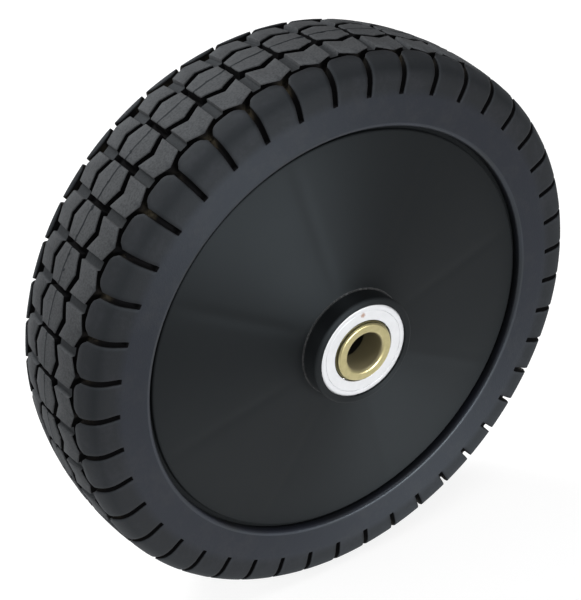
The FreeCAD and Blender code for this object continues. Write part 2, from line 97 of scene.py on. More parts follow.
class TyreSettings(bpy.types.PropertyGroup):
    """Sizes and colours of the tyre."""

    radius: length("Radius", "From the axle to the top of the tread", TYRE_RADIUS)
    width: length("Width", "Across both sidewalls", TYRE_WIDTH)
    crown_radius: length("Crown radius", "Roundness of the tread from side to side", 92.0)
    shoulder_radius: length("Shoulder radius", "Rounding from tread to sidewall", 7.5)
    break_radius: length("Sidewall break", "Where the sidewall starts to lean in", 86.65)
    lean: length("Sidewall lean", "How far the lip stands behind the sidewall", 0.7)
    lip_radius: length("Lip radius", "Opening of the tyre's lip", 76.6)
    lip_round: length("Lip rounding", "Rounding of the lip's outer edge", 1.5)
    lip_back: length("Lip back", "Offset of the lip's hidden face", 20.25)
    seat_radius: length("Seat radius", "Inside of the tyre on the rim", 81.05)
    pitches: IntProperty(name="Pitches", description="Tread pitches around the tyre", default=44, min=8)
    phase: degrees("Phase", "Turn of the tread", 2.43)
    groove_depth: length("Groove depth", "Depth of the tread grooves", 3.2)
    cross_groove: length("Cross groove", "Width of the grooves across the tread", 3.5)
    cross_depth: length("Cross depth", "Depth of the cross grooves between chevron blocks", 1.3)
    hexagon_gap: length("Hexagon gap", "Width of the cross grooves between middle blocks", 2.1)
    ridge_rise: length("Ridge rise", "How far the middle blocks rise to the mould seam", 0.45)
    hexagon_corner: length("Hexagon corner", "Offset of the middle blocks' corners", 4.45)
    block_point: length("Block point", "How far the blocks' bent edges reach out", 2.3)
    chevron_inner: length("Chevron inner corner", "Offset of the chevron blocks' inner corners", 7.0)
    chevron_outer: length("Chevron outer corner", "Offset of the chevron blocks' outer corners", 15.2)
    tip_offset: length("Shoulder tip", "Offset of the shoulder blocks' tips", 17.8)
    tip_corner: length("Shoulder corner", "Offset where the shoulder blocks meet their slot", 20.5)
    tip_width: length("Tip width", "Flat width of the shoulder blocks' tips", 4.0)
    tip_round: length("Tip rounding", "Rounding of the shoulder blocks' tips", 4.5)
    slot_width: length("Slot width", "Width of the shoulder slots", 2.1)
    slot_depth: length("Slot depth", "Depth of the shoulder slots", 3.0)
    slot_end: length("Slot end", "Radius where the shoulder slots run out", 87.7)
    slot_run: length("Slot run-out", "Length of the slots' sloping end", 0.7)
    worn: colour("Worn rubber", "Colour of the crown's blocks", (0.060, 0.061, 0.063))
    rubber: colour("Rubber", "Colour of the shoulder blocks", (0.010, 0.010, 0.011))
    flank: colour("Flank", "Colour of the smooth sidewall", (0.011, 0.012, 0.019))
    bloom: colour("Bloom", "Pale mottling of the shoulder and the sidewall", (0.017, 0.017, 0.020))
    # Painted shade: near-black colour for the grooves and the shoulder's bend band, and the dark of the torn
    # seam marks
    painted_shade_and_tear_colour: colour("Hollow", "Colour of the rubber in the grooves", (0.003, 0.003, 0.0035))
    dust: colour("Dust", "Colour of the dust in the grooves", (0.085, 0.072, 0.048))


class RimSettings(bpy.types.PropertyGroup):
    """Sizes and colours of the moulded rim."""

    barrel_radius: length("Barrel radius", "Outside of the barrel under the tyre", 81.0)
    barrel_wall: length("Barrel wall", "Thickness of the barrel", 3.0)
    half_barrel: length("Half barrel", "Offset of the barrel's edges", 20.2)
    disc_radius: length("Disc radius", "Edge of the dished disc", 75.0)
    disc_edge: length("Disc edge", "Offset of the disc at its edge", -21.83)
    disc_root: length("Disc root", "Offset of the disc at the boss", -24.73)
    disc_wall: length("Disc wall", "Thickness of the disc", 3.5)
    boss_radius: length("Boss radius", "Outside of the hub boss", 20.0)
    boss_front: length("Boss front", "Offset of the boss's front face", -31.97)
    boss_back: length("Boss back", "Offset of the boss's rear face", 26.93)
    boss_flare: length("Boss flare", "Flare at the foot of the boss", 0.4)
    seat_radius: length("Seat radius", "Bearing seats in the boss", 17.4625)
    seat_floor_front: length("Front seat floor", "Offset of the front seat's floor", -21.94)
    seat_floor_back: length("Rear seat floor", "Offset of the rear seat's floor", 16.90)
    hub_bore: length("Hub bore", "Radius of the hub between the seats", 15.5)
    rib_count: IntProperty(name="Ribs", description="Ribs behind the disc", default=8, min=3)
    rib_angle: degrees("Rib angle", "Place of the first rib", 72.5)
    rib_wall: length("Rib wall", "Thickness of a rib", 3.0)
    rib_hub_end: length("Rib at hub", "Offset of the ribs' rear edge at the boss", 19.93)
    rib_barrel_end: length("Rib at barrel", "Offset of the ribs' rear edge at the barrel", 17.0)
    sink_depth: length("Sink depth", "Depth of the sink marks in front of the ribs", 0.12)
    sink_width: length("Sink width", "Half width of the sink marks", 2.4)
    plastic: colour("Plastic", "Colour of the rim", (0.0045, 0.0048, 0.0050))
    scuff: colour("Scuff", "Colour of faint rubbed places", (0.012, 0.011, 0.010))
    # Painted highlight: the pale line at the boss's foot, standing in for light caught by the flare
    painted_foot_highlight: colour("Flash", "Colour of the thin line at the boss's foot", (0.05, 0.05, 0.05))


class BearingSettings(bpy.types.PropertyGroup):
    """Sizes and colours of the two ball bearings and the spacer."""

    race_radius: length("Race radius", "Outside of the outer race", 17.4625)
    race_front: length("Race front", "Offset of the front bearing's face", -31.47)
    race_length: length("Race length", "Length of the outer race", 9.53)
    shield_seat: length("Shield seat", "Outside of the shields", 15.4025)
    shield_hole: length("Shield hole", "Inside of the shields", 11.6475)
    shield_wall: length("Shield wall", "Thickness of a shield", 0.7)
    land_radius: length("Outer land", "Inside of the outer race beside its track", 14.9475)
    inner_radius: length("Inner race radius", "Outside of the inner race", 10.8475)
    inner_front: length("Inner race front", "Offset of the front inner race's face", -32.67)
    inner_length: length("Inner race length", "Length of the inner race", 10.73)
    bore_radius: length("Bore radius", "Radius of the axle bore", 7.145)
    mouth_round: length("Mouth rounding", "Rounding at the mouth of the bore", 1.2)
    lip_gap: length("Dust lip gap", "Gap between the inner race's dust lip and the shield", 0.3)
    lip_recess: length("Dust lip recess", "How far the dust lip lies behind the shield's face", 0.3)
    hub_turn: length("Hub turn", "Sum of the two bearings' offsets", -5.04)
    white_zinc: colour("White zinc", "Plating of the outer races and shields", (0.70, 0.71, 0.73))
    yellow_zinc: colour("Yellow zinc", "Plating of the inner races", (0.54, 0.48, 0.26))
    olive: colour("Olive", "Clouds in the yellow plating", (0.34, 0.31, 0.15))
    film: colour("Film", "Dull film in the bore", (0.34, 0.30, 0.18))
    # Painted shade: dark colour of the inner races' surfaces that lie back behind their faces
    painted_recess_shade: colour("Grime", "Inner races away from their faces", (0.115, 0.105, 0.055))
    rust: colour("Rust", "Small rust spots", (0.30, 0.12, 0.04))
    steel: colour("Steel", "Balls", (0.52, 0.52, 0.53))
    # Painted shade: the spacer tube's steel darkened for the shade deep inside the hub
    painted_spacer_shade: colour("Oiled steel", "Spacer tube", (0.16, 0.155, 0.145))


class StageSettings(bpy.types.PropertyGroup):
    """Floor, light and camera."""

    floor: colour("Floor", "Colour of the floor", (0.32, 0.32, 0.32))
    floor_level: length("Floor level", "Height of the floor under the tyre", -101.62)
    shade_start: length("Shade start", "Where the floor starts to darken in front of the wheel", -95.0)
    shade_end: length("Shade end", "Where the floor is darkest", -260.0)
    shade_level: share("Shade level", "Brightness of the floor's dark part", 0.1)
    seen_glow: share("Seen glow", "Added brightness of the floor in the picture", 0.8)
    far_start: length("Far start", "Distance where the floor starts to gain brightness", 500.0)
    far_end: length("Far end", "Distance where the floor is as white as its surroundings", 1500.0)
    far_glow: share("Far glow", "Added brightness of the far floor in the picture", 0.16)
    mirrored_glow: share("Mirrored glow", "Added brightness of the floor in reflections", 0.9)
    lane_start: length("Lane start", "Sideways place of the floor's bright lane beside the origin", 72.0)
    lane_slope: FloatProperty(
        name="Lane slope", description="Sideways run of the lane along Y", default=-0.165
    )
    lane_half: length("Lane half width", "Half width of the bright lane", 35.0)
    lane_level: share("Lane level", "Brightness of the bright lane", 0.6)
    ambient: share("Ambient", "Light that comes from all around", 0.19)
    top_power: power("Top", "Soft light above the back", 10.0)
    left_power: power("Left", "Soft light from the left", 3.5)
    over_power: power("Over", "Soft light overhead", 2.0)
    front_power: power("Front", "Soft light in front", 11.0)
    camera_place: FloatVectorProperty(
        name="Camera place", description="Where the camera stands", default=(-0.2163, -0.3150, 0.2315),
        size=3, subtype="TRANSLATION",
    )
    camera_turn: degrees("Camera turn", "Heading of the camera", -33.38)
    camera_drop: degrees("Camera drop", "How far the camera looks down", 30.73)
    lens: FloatProperty(name="Lens", description="Focal length in millimetres", default=75.55)


# Meshes

def around_axle(radius, offset, angle):
    """Points at a radius from the axle, an offset along it and an angle around it."""
    radius, offset, angle = np.broadcast_arrays(radius, offset, angle)
    return np.stack([radius * np.sin(angle), offset, radius * np.cos(angle)], axis=-1)


def grid_quads(rows, columns, first=0, close_rows=False):
    """Cells of a grid whose columns close on themselves, and whose rows may too: four corner numbers each."""
    row_count = rows if close_rows else rows - 1
    row, column = np.meshgrid(np.arange(row_count), np.arange(columns), indexing="ij")
    next_row = (row + 1) % rows
    next_column = (column + 1) % columns
    corners = [
        row * columns + column,
        row * columns + next_column,
        next_row * columns + next_column,
        next_row * columns + column,
    ]
    return first + np.stack(corners, axis=-1).reshape(-1, 4)


def put_in_scene(name, data):
    """New object at the origin that shows a mesh, a light or a camera."""
    shown = bpy.data.objects.new(name, data)
    bpy.context.scene.collection.objects.link(shown)
    return shown


def new_piece(name, points, faces, material, body, replaced):
    """Smooth mesh object at the origin that rides on a body in place of CAD nodes."""
    mesh = bpy.data.meshes.new(name)
    mesh.from_pydata(points.reshape(-1, 3).tolist(), [], faces)
    if mesh.validate():
        raise RuntimeError(f"{name} has faces that don't hold together")
    mesh.polygons.foreach_set("use_smooth", np.ones(len(mesh.polygons), dtype=bool))
    mesh.update()
    mesh.materials.append(material)
    piece = put_in_scene(name, mesh)
    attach(piece, body)
    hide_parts(*replaced)
    return piece


def add_attribute(mesh, name, values):
    """One number for each point of a mesh, for its material to read."""
    attribute = mesh.attributes.new(name, "FLOAT", "POINT")
    attribute.data.foreach_set("value", np.asarray(values, dtype=np.float32).ravel())


def read_numbers(collection, name, size, kind):
    """All values of one property of a mesh's points, corners or faces, in one row."""
    values = np.empty(size * len(collection), dtype=kind)
    collection.foreach_get(name, values)
    return values


def rounded_outline(corners, steps=4, support=0.25 * MM):
    """Closed outline through corners (radius, offset, rounding), each corner an arc tangent to both its runs.

    A point of the arc is the arc's centre plus a blend by sines of the directions to its two ends.
    One more point lies beside each end, so that smooth shading stays in the corner.
    """
    corners = np.array(corners, dtype=float)
    place = corners[:, :2]
    rounding = corners[:, 2:]
    back = np.roll(place, 1, axis=0) - place
    ahead = np.roll(place, -1, axis=0) - place
    back /= np.linalg.norm(back, axis=1, keepdims=True)
    ahead /= np.linalg.norm(ahead, axis=1, keepdims=True)
    half = np.arccos(np.clip((back * ahead).sum(axis=1, keepdims=True), -1, 1)) / 2
    middle = back + ahead
    middle /= np.linalg.norm(middle, axis=1, keepdims=True)
    centre = place + middle * rounding / np.sin(half)
    start = place + back * rounding / np.tan(half)
    end = place + ahead * rounding / np.tan(half)
    sweep = (math.pi - 2 * half)[:, None]
    step = np.linspace(0, 1, steps + 1)[None, :, None]
    from_start = np.sin((1 - step) * sweep) / np.sin(sweep)
    from_end = np.sin(step * sweep) / np.sin(sweep)
    arc = centre[:, None] + (start - centre)[:, None] * from_start + (end - centre)[:, None] * from_end
    before = (start + back * support)[:, None]
    after = (end + ahead * support)[:, None]
    return np.concatenate([before, arc, after], axis=1).reshape(-1, 2)


def divided(outline, longest):
    """The closed outline with its runs divided so that none is longer than a given length."""
    run = np.roll(outline, -1, axis=0) - outline
    counts = np.ceil(np.linalg.norm(run, axis=1) / longest).astype(int).clip(1)
    owner = np.repeat(np.arange(len(outline)), counts)
    within = np.arange(len(owner)) - np.repeat(np.cumsum(counts) - counts, counts)
    return outline[owner] + run[owner] * (within / counts[owner])[:, None]


def turned_piece(outline, columns):
    """Surface of an outline (radius, offset) carried once around the axle, and its faces."""
    angle = np.linspace(0, FULL_TURN, columns, endpoint=False)
    points = around_axle(outline[:, :1], outline[:, 1:], angle[None, :])
    return points, grid_quads(len(outline), columns, close_rows=True).tolist()


# Tyre

# Fall of a groove's wall: distance into the groove from the block's edge, and share of the full depth
WALL_RUN = np.array([-0.15, -0.03, 0.05, 0.26, 0.50]) * MM
WALL_FALL = np.array([0.0, 0.03, 0.12, 0.93, 1.0])
# Columns of a half pitch besides those on the walls of its slot and its cross groove
BLOCK_COLUMNS = np.array([2.4, 3.3, 4.3]) * MM
# Rows beside the mould seam
SEAM_ROWS = np.array([0.0, 0.15, 0.6]) * MM
# Places on the shoulder's arc, in degrees from the crown, and on the sidewall below it, as radii
SHOULDER_ROWS = np.radians([36, 48, 60, 75, 90])
SIDEWALL_ROWS = np.array([91.2, 89.8, 88.7, 88.4, 88.05, 87.7, 87.45, 86.8]) * MM
# Faces that reach below this share of the groove's depth count as part of the groove
DEEP_SHARE = 0.42
# How far beyond the lip's rounding its glossy faces may reach
LIP_MARGIN = 0.1 * MM
# Where the shoulder's band of painted shade is darkest, from the crown, and how far the band reaches
BEND_PLACE = math.radians(58)
BEND_REACH = 1.9 * MM
# Columns that the lips' coarser grid keeps, by their distance from the middle of a pitch
COARSE_OFFSETS = np.array([0.0, 3.3]) * MM
SAME_PLACE = 0.001 * MM
# Entries of the section's table on each of its arcs and on the sidewall
ARC_STEPS = 80
WALL_STEPS = 40
# Rows below the sidewall's break, as radii, points of the lip's rounding, and bevel of its hidden edge
LIP_WALL_ROWS = np.array([86.0, 84.2, 81.5]) * MM
LIP_ARC_STEPS = 6
LIP_BEVEL = 0.3 * MM
# Where the smooth flank starts outside the slots' ends, and how far it and the crown fade in
FLANK_MARGIN = 2 * MM
FLANK_FADE = 5 * MM
CROWN_FADE = 1 * MM
# How far dust reaches from the mouths of the slots, its least and greatest cover, and its random seed
DUST_REACH = 3 * MM
DUST_COVER = (0.1, 1.0)
DUST_SEED = 8
# Places of the tyre's second and third material
GROOVE_FINISH = 1
LIP_FINISH = 2


class TyreSection:
    """Bare section of one side of the tyre, as a table along its run from the middle of the crown.

    The run follows the crown's arc, then the shoulder's arc, then the flat sidewall. Each entry has an
    offset along the axle, a radius and the two parts of the outward normal.
    """

    def __init__(self, tyre):
        half_width = tyre.width / 2
        crown_centre = tyre.radius - tyre.crown_radius
        shoulder_offset = half_width - tyre.shoulder_radius
        shoulder_reach = tyre.crown_radius - tyre.shoulder_radius
        shoulder_start = math.asin(shoulder_offset / shoulder_reach)
        self.shoulder_offset = shoulder_offset
        self.shoulder_radius = tyre.shoulder_radius
        self.shoulder_centre = crown_centre + shoulder_reach * math.cos(shoulder_start)
        crown = np.linspace(0, shoulder_start, ARC_STEPS)
        shoulder = np.linspace(shoulder_start, math.pi / 2, ARC_STEPS)[1:]
        wall = np.linspace(self.shoulder_centre, tyre.break_radius, WALL_STEPS)[1:]
        self.offset = np.concatenate([
            tyre.crown_radius * np.sin(crown),
            shoulder_offset + tyre.shoulder_radius * np.sin(shoulder),
            np.full_like(wall, half_width),
        ])
        self.radius = np.concatenate([
            crown_centre + tyre.crown_radius * np.cos(crown),
            self.shoulder_centre + tyre.shoulder_radius * np.cos(shoulder),
            wall,
        ])
        self.normal_offset = np.concatenate([np.sin(crown), np.sin(shoulder), np.ones_like(wall)])
        self.normal_radius = np.concatenate([np.cos(crown), np.cos(shoulder), np.zeros_like(wall)])
        step = np.hypot(np.diff(self.offset), np.diff(self.radius))
        self.run = np.concatenate([[0], np.cumsum(step)])
        self.arc_end = len(crown) + len(shoulder)

    def run_at_offset(self, offset):
        """Run where the crown or shoulder has this offset."""
        return np.interp(offset, self.offset[: self.arc_end], self.run[: self.arc_end])

    def run_at_radius(self, radius):
        """Run where the sidewall has this radius."""
        return np.interp(-np.asarray(radius), -self.radius[self.arc_end:], self.run[self.arc_end:])

    def place(self, run, depth):
        """Offset and radius at a run, sunk by a depth along the normal."""
        offset = np.interp(run, self.run, self.offset) - depth * np.interp(run, self.run, self.normal_offset)
        radius = np.interp(run, self.run, self.radius) - depth * np.interp(run, self.run, self.normal_radius)
        return offset, radius


def both_sides(rows):
    """Rows of one side after the same rows in mirror order, with the middle row once."""
    return np.concatenate([rows[:0:-1], rows])


def wall_fall(inside):
    """Share of a groove's depth at a distance inside its edge."""
    return np.interp(inside, WALL_RUN, WALL_FALL)


def pitch_columns(tyre, pitch):
    """Places of the columns around one pitch, from its slot in the middle to half a pitch each way."""
    slot_columns = tyre.slot_width / 2 - WALL_RUN[-2::-1]
    cross_columns = (pitch - tyre.cross_groove) / 2 + WALL_RUN
    positive = np.concatenate([slot_columns, BLOCK_COLUMNS, cross_columns])
    return np.concatenate([-positive[::-1], [0.0], positive, [pitch / 2]])


def stretched_columns(tyre, pitch, around, run, edges):
    """Places of the columns at each row: drawn out along the middle blocks, which are longer than the rest.

    The walls of the cross groove move towards each other by the difference of the two groove widths, and
    the move fades out across the bent groove beside the middle blocks.
    """
    hexagon, inside = edges[:2]
    wall = (pitch - tyre.cross_groove) / 2 + WALL_RUN[[0, -1]]
    moved = wall + (tyre.cross_groove - tyre.hexagon_gap) / 2
    held = tyre.slot_width / 2
    places = np.concatenate([[0, held], wall, [pitch / 2]])
    targets = np.concatenate([[0, held], moved, [pitch / 2]])
    drawn = np.sign(around) * np.interp(np.abs(around), places, targets)
    fade = np.clip((inside - run) / (inside - hexagon), 0, 1)
    return around + (drawn - around) * fade


def tread_edges(tyre, section, pitch, around):
    """Runs of the tread's four bent edges at each column: hexagon, chevron inside and outside, shoulder tip.

    The first three rise in a straight line to a point in the middle of the pitch. The tip is level, then
    part of a circle through the tip's corner and the slot's corner, then level across the slot.
    """
    block_half = (pitch - tyre.cross_groove) / 2
    bend = tyre.block_point * np.clip(1 - np.abs(around) / block_half, 0, 1)
    bent = [
        section.run_at_offset(corner + bend)
        for corner in (tyre.hexagon_corner, tyre.chevron_inner, tyre.chevron_outer)
    ]
    tip = np.array([(pitch - tyre.tip_width) / 2, tyre.tip_offset])
    corner = np.array([tyre.slot_width / 2, tyre.tip_corner])
    chord = corner - tip
    across = np.array([chord[1], -chord[0]]) / np.linalg.norm(chord)
    centre = (tip + corner) / 2 + across * math.sqrt(tyre.tip_round**2 - chord @ chord / 4)
    clamped = np.clip(np.abs(around), corner[0], tip[0])
    curve = centre[1] - np.sqrt(tyre.tip_round**2 - (clamped - centre[0]) ** 2)
    return bent + [section.run_at_offset(curve)]


def tread_rows(section, edges):
    """Runs of all rows of one side at each column, from the mould seam to the end of the sidewall.

    Rows lie on the walls of each edge, halfway across the blocks between them, and at set places on the
    shoulder and the sidewall.
    """
    hexagon, inside, outside, tip = edges
    level = np.ones_like(hexagon)
    edge_gap = WALL_RUN[0]
    into = WALL_RUN[:, None]
    shoulder = section.run_at_offset(
        section.shoulder_offset + section.shoulder_radius * np.sin(SHOULDER_ROWS)
    )
    wall = section.run_at_radius(SIDEWALL_ROWS)
    return np.concatenate([
        SEAM_ROWS[:, None] * level,
        (SEAM_ROWS[-1] + hexagon + edge_gap)[None] / 2,
        hexagon + into,
        inside - into[::-1],
        (inside + outside)[None] / 2,
        outside + into,
        tip - into[::-1],
        (tip - edge_gap + shoulder[0])[None] / 2,
        shoulder[:, None] * level,
        wall[:, None] * level,
    ])


def tread_depth(tyre, section, pitch, around, run, edges):
    """Depth of the grooves at each row and column of one side: the deepest of the four kinds.

    A groove's depth is its full depth times the wall's fall at the least distance inside its edges.
    The middle blocks also fall away evenly from the seam to their edges.
    """
    hexagon, inside, outside, tip = edges
    before_tip = tip - run
    cross = np.minimum(np.abs(around) - (pitch - tyre.cross_groove) / 2, before_tip)
    bent = np.minimum(run - hexagon, inside - run)
    outer = np.minimum(run - outside, before_tip)
    slot = np.minimum(tyre.slot_width / 2 - np.abs(around), run - outside)
    radius = np.interp(run, section.run, section.radius)
    run_out = np.clip((radius - tyre.slot_end) / tyre.slot_run, 0, 1)
    cross_depth = np.where(run < (hexagon + inside) / 2, tyre.groove_depth, tyre.cross_depth)
    depths = [
        tyre.groove_depth * wall_fall(np.maximum(bent, outer)),
        cross_depth * wall_fall(cross),
        tyre.slot_depth * wall_fall(slot) * run_out,
    ]
    fall = tyre.ridge_rise * np.clip(run / hexagon, 0, 1)
    return np.maximum.reduce(depths) + fall * (run < hexagon + WALL_RUN[0])


def lip_outline(tyre):
    """Rows of the tyre below both sidewalls, from the rear one round the seat to the front one."""
    half_width = tyre.width / 2
    lip_front = half_width - tyre.lean
    arc = np.linspace(0, math.pi / 2, LIP_ARC_STEPS)
    slope = (half_width - lip_front) / (tyre.break_radius - tyre.lip_radius - tyre.lip_round)
    wall_offset = half_width - (tyre.break_radius - LIP_WALL_ROWS) * slope
    wall = np.stack([LIP_WALL_ROWS, wall_offset], axis=-1)
    lip = np.stack([
        tyre.lip_radius + tyre.lip_round * (1 - np.sin(arc)),
        lip_front - tyre.lip_round * (1 - np.cos(arc)),
    ], axis=-1)
    back = np.array([
        [tyre.lip_radius, tyre.lip_back + LIP_BEVEL],
        [tyre.lip_radius + LIP_BEVEL, tyre.lip_back],
        [tyre.seat_radius, tyre.lip_back],
    ])
    rear = np.concatenate([wall, lip, back])
    return np.concatenate([rear, rear[::-1] * [1, -1]])


def make_tyre(tyre, material, groove_material, lip_material):
    """The tyre: a fine grid over tread and sidewalls, and a coarse one round the lips and the seat.

    A point of the fine grid is the bare section's point at its run, sunk by the groove's depth along the
    section's normal, then turned about the axle by its column's angle.
    """
    count = tyre.pitches
    pitch = FULL_TURN * tyre.radius / count
    section = TyreSection(tyre)
    around = pitch_columns(tyre, pitch)
    edges = tread_edges(tyre, section, pitch, around)
    run = tread_rows(section, edges)
    depth = tread_depth(tyre, section, pitch, around, run, edges)
    groove = both_sides(np.clip(depth / tyre.groove_depth, 0, 1))
    both_runs = both_sides(run)
    side = np.concatenate([-np.ones(len(run) - 1), np.ones(len(run))])[:, None]
    offset, radius = section.place(both_runs, both_sides(depth))
    start = tyre.phase + FULL_TURN / count * np.arange(count)
    both_columns = both_sides(stretched_columns(tyre, pitch, around, run, edges))
    angle = start[:, None, None] + both_columns[None] / tyre.radius
    rows = len(both_runs)
    columns = count * len(around)
    spread = (np.tile(radius, count), np.tile(offset * side, count))
    fine = around_axle(*spread, angle.transpose(1, 0, 2).reshape(rows, columns))
    kept = np.flatnonzero(
        np.isclose(np.abs(around)[:, None], COARSE_OFFSETS, atol=SAME_PLACE).any(axis=1)
        | np.isclose(around, pitch / 2, atol=SAME_PLACE)
    )
    coarse_columns = (np.arange(count)[:, None] * len(around) + kept).ravel()
    outline = lip_outline(tyre)
    coarse_angle = angle[:, 0].ravel()[coarse_columns]
    coarse = around_axle(outline[:, :1], outline[:, 1:], coarse_angle[None, :])
    faces = grid_quads(rows, columns).tolist()
    faces += grid_quads(len(outline), len(kept) * count, first=rows * columns).tolist()
    faces += joining_faces(rows, columns, coarse_columns, len(outline))
    points = np.concatenate([fine.reshape(-1, 3), coarse.reshape(-1, 3)])
    piece = new_piece("block_tread_tyre", points, faces, material, "wheel", ["tyre"])
    tyre_attributes(piece.data, tyre, section, both_runs * side, groove, len(coarse.reshape(-1, 3)))
    paint_faces(piece.data, tyre, groove_material, lip_material)


def joining_faces(rows, columns, coarse_columns, coarse_rows):
    """Faces between the fine grid's two outer rows and the coarse grid: each spans one coarse cell."""
    fine_last = (rows - 1) * columns
    coarse_first = rows * columns
    coarse_count = len(coarse_columns)
    coarse_last = coarse_first + (coarse_rows - 1) * coarse_count
    faces = []
    for cell, begin in enumerate(coarse_columns):
        following = (cell + 1) % coarse_count
        width = (coarse_columns[following] - begin) % columns
        span = (begin + np.arange(width + 1)) % columns
        faces.append((fine_last + span).tolist() + [coarse_first + following, coarse_first + cell])
        faces.append([coarse_last + cell, coarse_last + following] + span[::-1].tolist())
    return faces


def tyre_attributes(mesh, tyre, section, across, groove, lip_points):
    """Numbers for the rubber's material: groove, flank, crown, painted shade at the bend, dust and place
    across the tread.

    The place across is in millimetres from the seam. The bend's painted shade and the dust are bell curves of
    the run, and the dust has a cover of its own in each pitch.
    """
    count = tyre.pitches
    rows, columns = across.shape
    run = np.abs(across)
    radius = np.interp(run, section.run, section.radius)
    tip_run = section.run_at_offset(tyre.tip_corner)
    bend_offset = section.shoulder_offset + section.shoulder_radius * math.sin(BEND_PLACE)
    bend_run = section.run_at_offset(bend_offset)
    near_tip = np.exp(-(((run - tip_run) / DUST_REACH) ** 2)) * groove
    pitch_dust = np.random.default_rng(DUST_SEED).uniform(*DUST_COVER, (1, count, 1))
    fine_values = {
        "groove": groove,
        "flank": np.clip((tyre.slot_end + FLANK_MARGIN - radius) / FLANK_FADE, 0, 1),
        "crown": np.clip((section.run_at_offset(tyre.tip_offset) - run) / CROWN_FADE, 0, 1),
        "bend": np.exp(-(((run - bend_run) / BEND_REACH) ** 2)),
        "dust": near_tip[:, None] * pitch_dust,
        "across": across / MM,
    }
    for name, values in fine_values.items():
        in_pitches = np.broadcast_to(values.reshape(rows, -1, columns), (rows, count, columns))
        lip_value = in_pitches[-1, 0, 0]
        add_attribute(mesh, name, np.append(in_pitches, np.full(lip_points, lip_value)))


def paint_faces(mesh, tyre, groove_material, lip_material):
    """Give the faces deep in the grooves a material of their own, whose near-black colour is painted shade,
    and the lips another.
    """
    mesh.materials.append(groove_material)
    mesh.materials.append(lip_material)
    groove = read_numbers(mesh.attributes["groove"].data, "value", 1, np.float32)
    place = read_numbers(mesh.vertices, "co", 3, np.float32)
    radius = np.hypot(place[0::3], place[2::3])
    corners = read_numbers(mesh.loops, "vertex_index", 1, np.int32)
    first = read_numbers(mesh.polygons, "loop_start", 1, np.int32)
    in_groove = np.maximum.reduceat(groove[corners], first) > DEEP_SHARE
    lip_edge = tyre.lip_radius + tyre.lip_round + LIP_MARGIN
    on_lip = np.maximum.reduceat(radius[corners], first) < lip_edge
    finish = np.where(on_lip, LIP_FINISH, GROOVE_FINISH * in_groove)
    mesh.polygons.foreach_set("material_index", finish.astype(np.int32))


# Rim

# Columns around the rim, and the longest run of its section without a row
RIM_COLUMNS = 480
LONGEST_RUN = 6 * MM
# Sink marks: how near the disc's front a row lies, and where they start, end and fade
FRONT_MARGIN = 0.6 * MM
SINK_FROM_BOSS = 4 * MM
SINK_FADE_IN = 8 * MM
SINK_FROM_EDGE = 1.5 * MM
SINK_FADE_OUT = 4 * MM
# Reach of the painted highlight line at the boss's foot, as a share of the flare there
FOOT_HIGHLIGHT_REACH = 0.75
# Roundings of the rim's edges
CRISP_ROUND = 0.12 * MM
MOULD_ROUND = 0.3 * MM
DISC_ROUND = 0.6 * MM
BOSS_ROUND = 0.8 * MM
INSIDE_ROUND = 1.2 * MM
# Section of a rib from foot to top: distance beyond its wall, height over the foot, depth under the top
RIB_SIDEWAYS = np.array([1.0, 0.4, 0.1, 0.0, 0.0, -0.12, -0.45, -1.0]) * MM
RIB_ABOVE_FOOT = np.array([-0.6, 0.15, 0.6, 1.2]) * MM
RIB_BELOW_TOP = np.array([0.8, 0.3, 0.06, 0.0]) * MM
# Sections along a rib, and how far its ends lie inside the boss and the barrel
RIB_STEPS = 8
RIB_BURIED = 0.5 * MM


def make_rim(rim, material):
    """The rim: its outline carried around the axle, with sink marks in the disc, and ribs behind the disc.

    A sink mark is a shallow trough in front of each rib: the offset grows by the mark's depth times a
    bell curve of the distance sideways from the rib's line.
    """
    outline = divided(rounded_outline(rim_corners(rim)), LONGEST_RUN)
    angle = np.linspace(0, FULL_TURN, RIM_COLUMNS, endpoint=False)
    radius = outline[:, :1]
    cone = rim.disc_root + (rim.disc_edge - rim.disc_root) * (
        (radius - rim.boss_radius) / (rim.disc_radius - rim.boss_radius)
    )
    on_front = np.abs(outline[:, 1:] - cone) < FRONT_MARGIN
    inner_fade = np.clip((radius - rim.boss_radius - SINK_FROM_BOSS) / SINK_FADE_IN, 0, 1)
    outer_fade = np.clip((rim.disc_radius - SINK_FROM_EDGE - radius) / SINK_FADE_OUT, 0, 1)
    rib_turn = FULL_TURN / rim.rib_count
    from_rib = (angle - rim.rib_angle + rib_turn / 2) % rib_turn - rib_turn / 2
    bell = np.exp(-((from_rib[None, :] * radius / rim.sink_width) ** 2))
    sink = rim.sink_depth * bell * inner_fade * outer_fade * on_front
    shell = around_axle(radius, outline[:, 1:] + sink, angle[None, :]).reshape(-1, 3)
    faces = grid_quads(len(outline), RIM_COLUMNS, close_rows=True).tolist()
    ribs, rib_faces = rim_ribs(rim, first=len(shell))
    faces += rib_faces
    points = np.concatenate([shell, ribs])
    piece = new_piece("moulded_rim", points, faces, material, "wheel", ["wheel_rim"])
    # Painted highlight: points round the flare's middle take the pale line's colour
    foot = np.array([rim.boss_radius + rim.boss_flare / 2, rim.disc_root - rim.boss_flare / 2])
    foot_highlight_mask = np.linalg.norm(outline - foot, axis=1) < FOOT_HIGHLIGHT_REACH * rim.boss_flare
    add_attribute(piece.data, "foot", np.append(np.repeat(foot_highlight_mask, RIM_COLUMNS), np.zeros(len(ribs))))


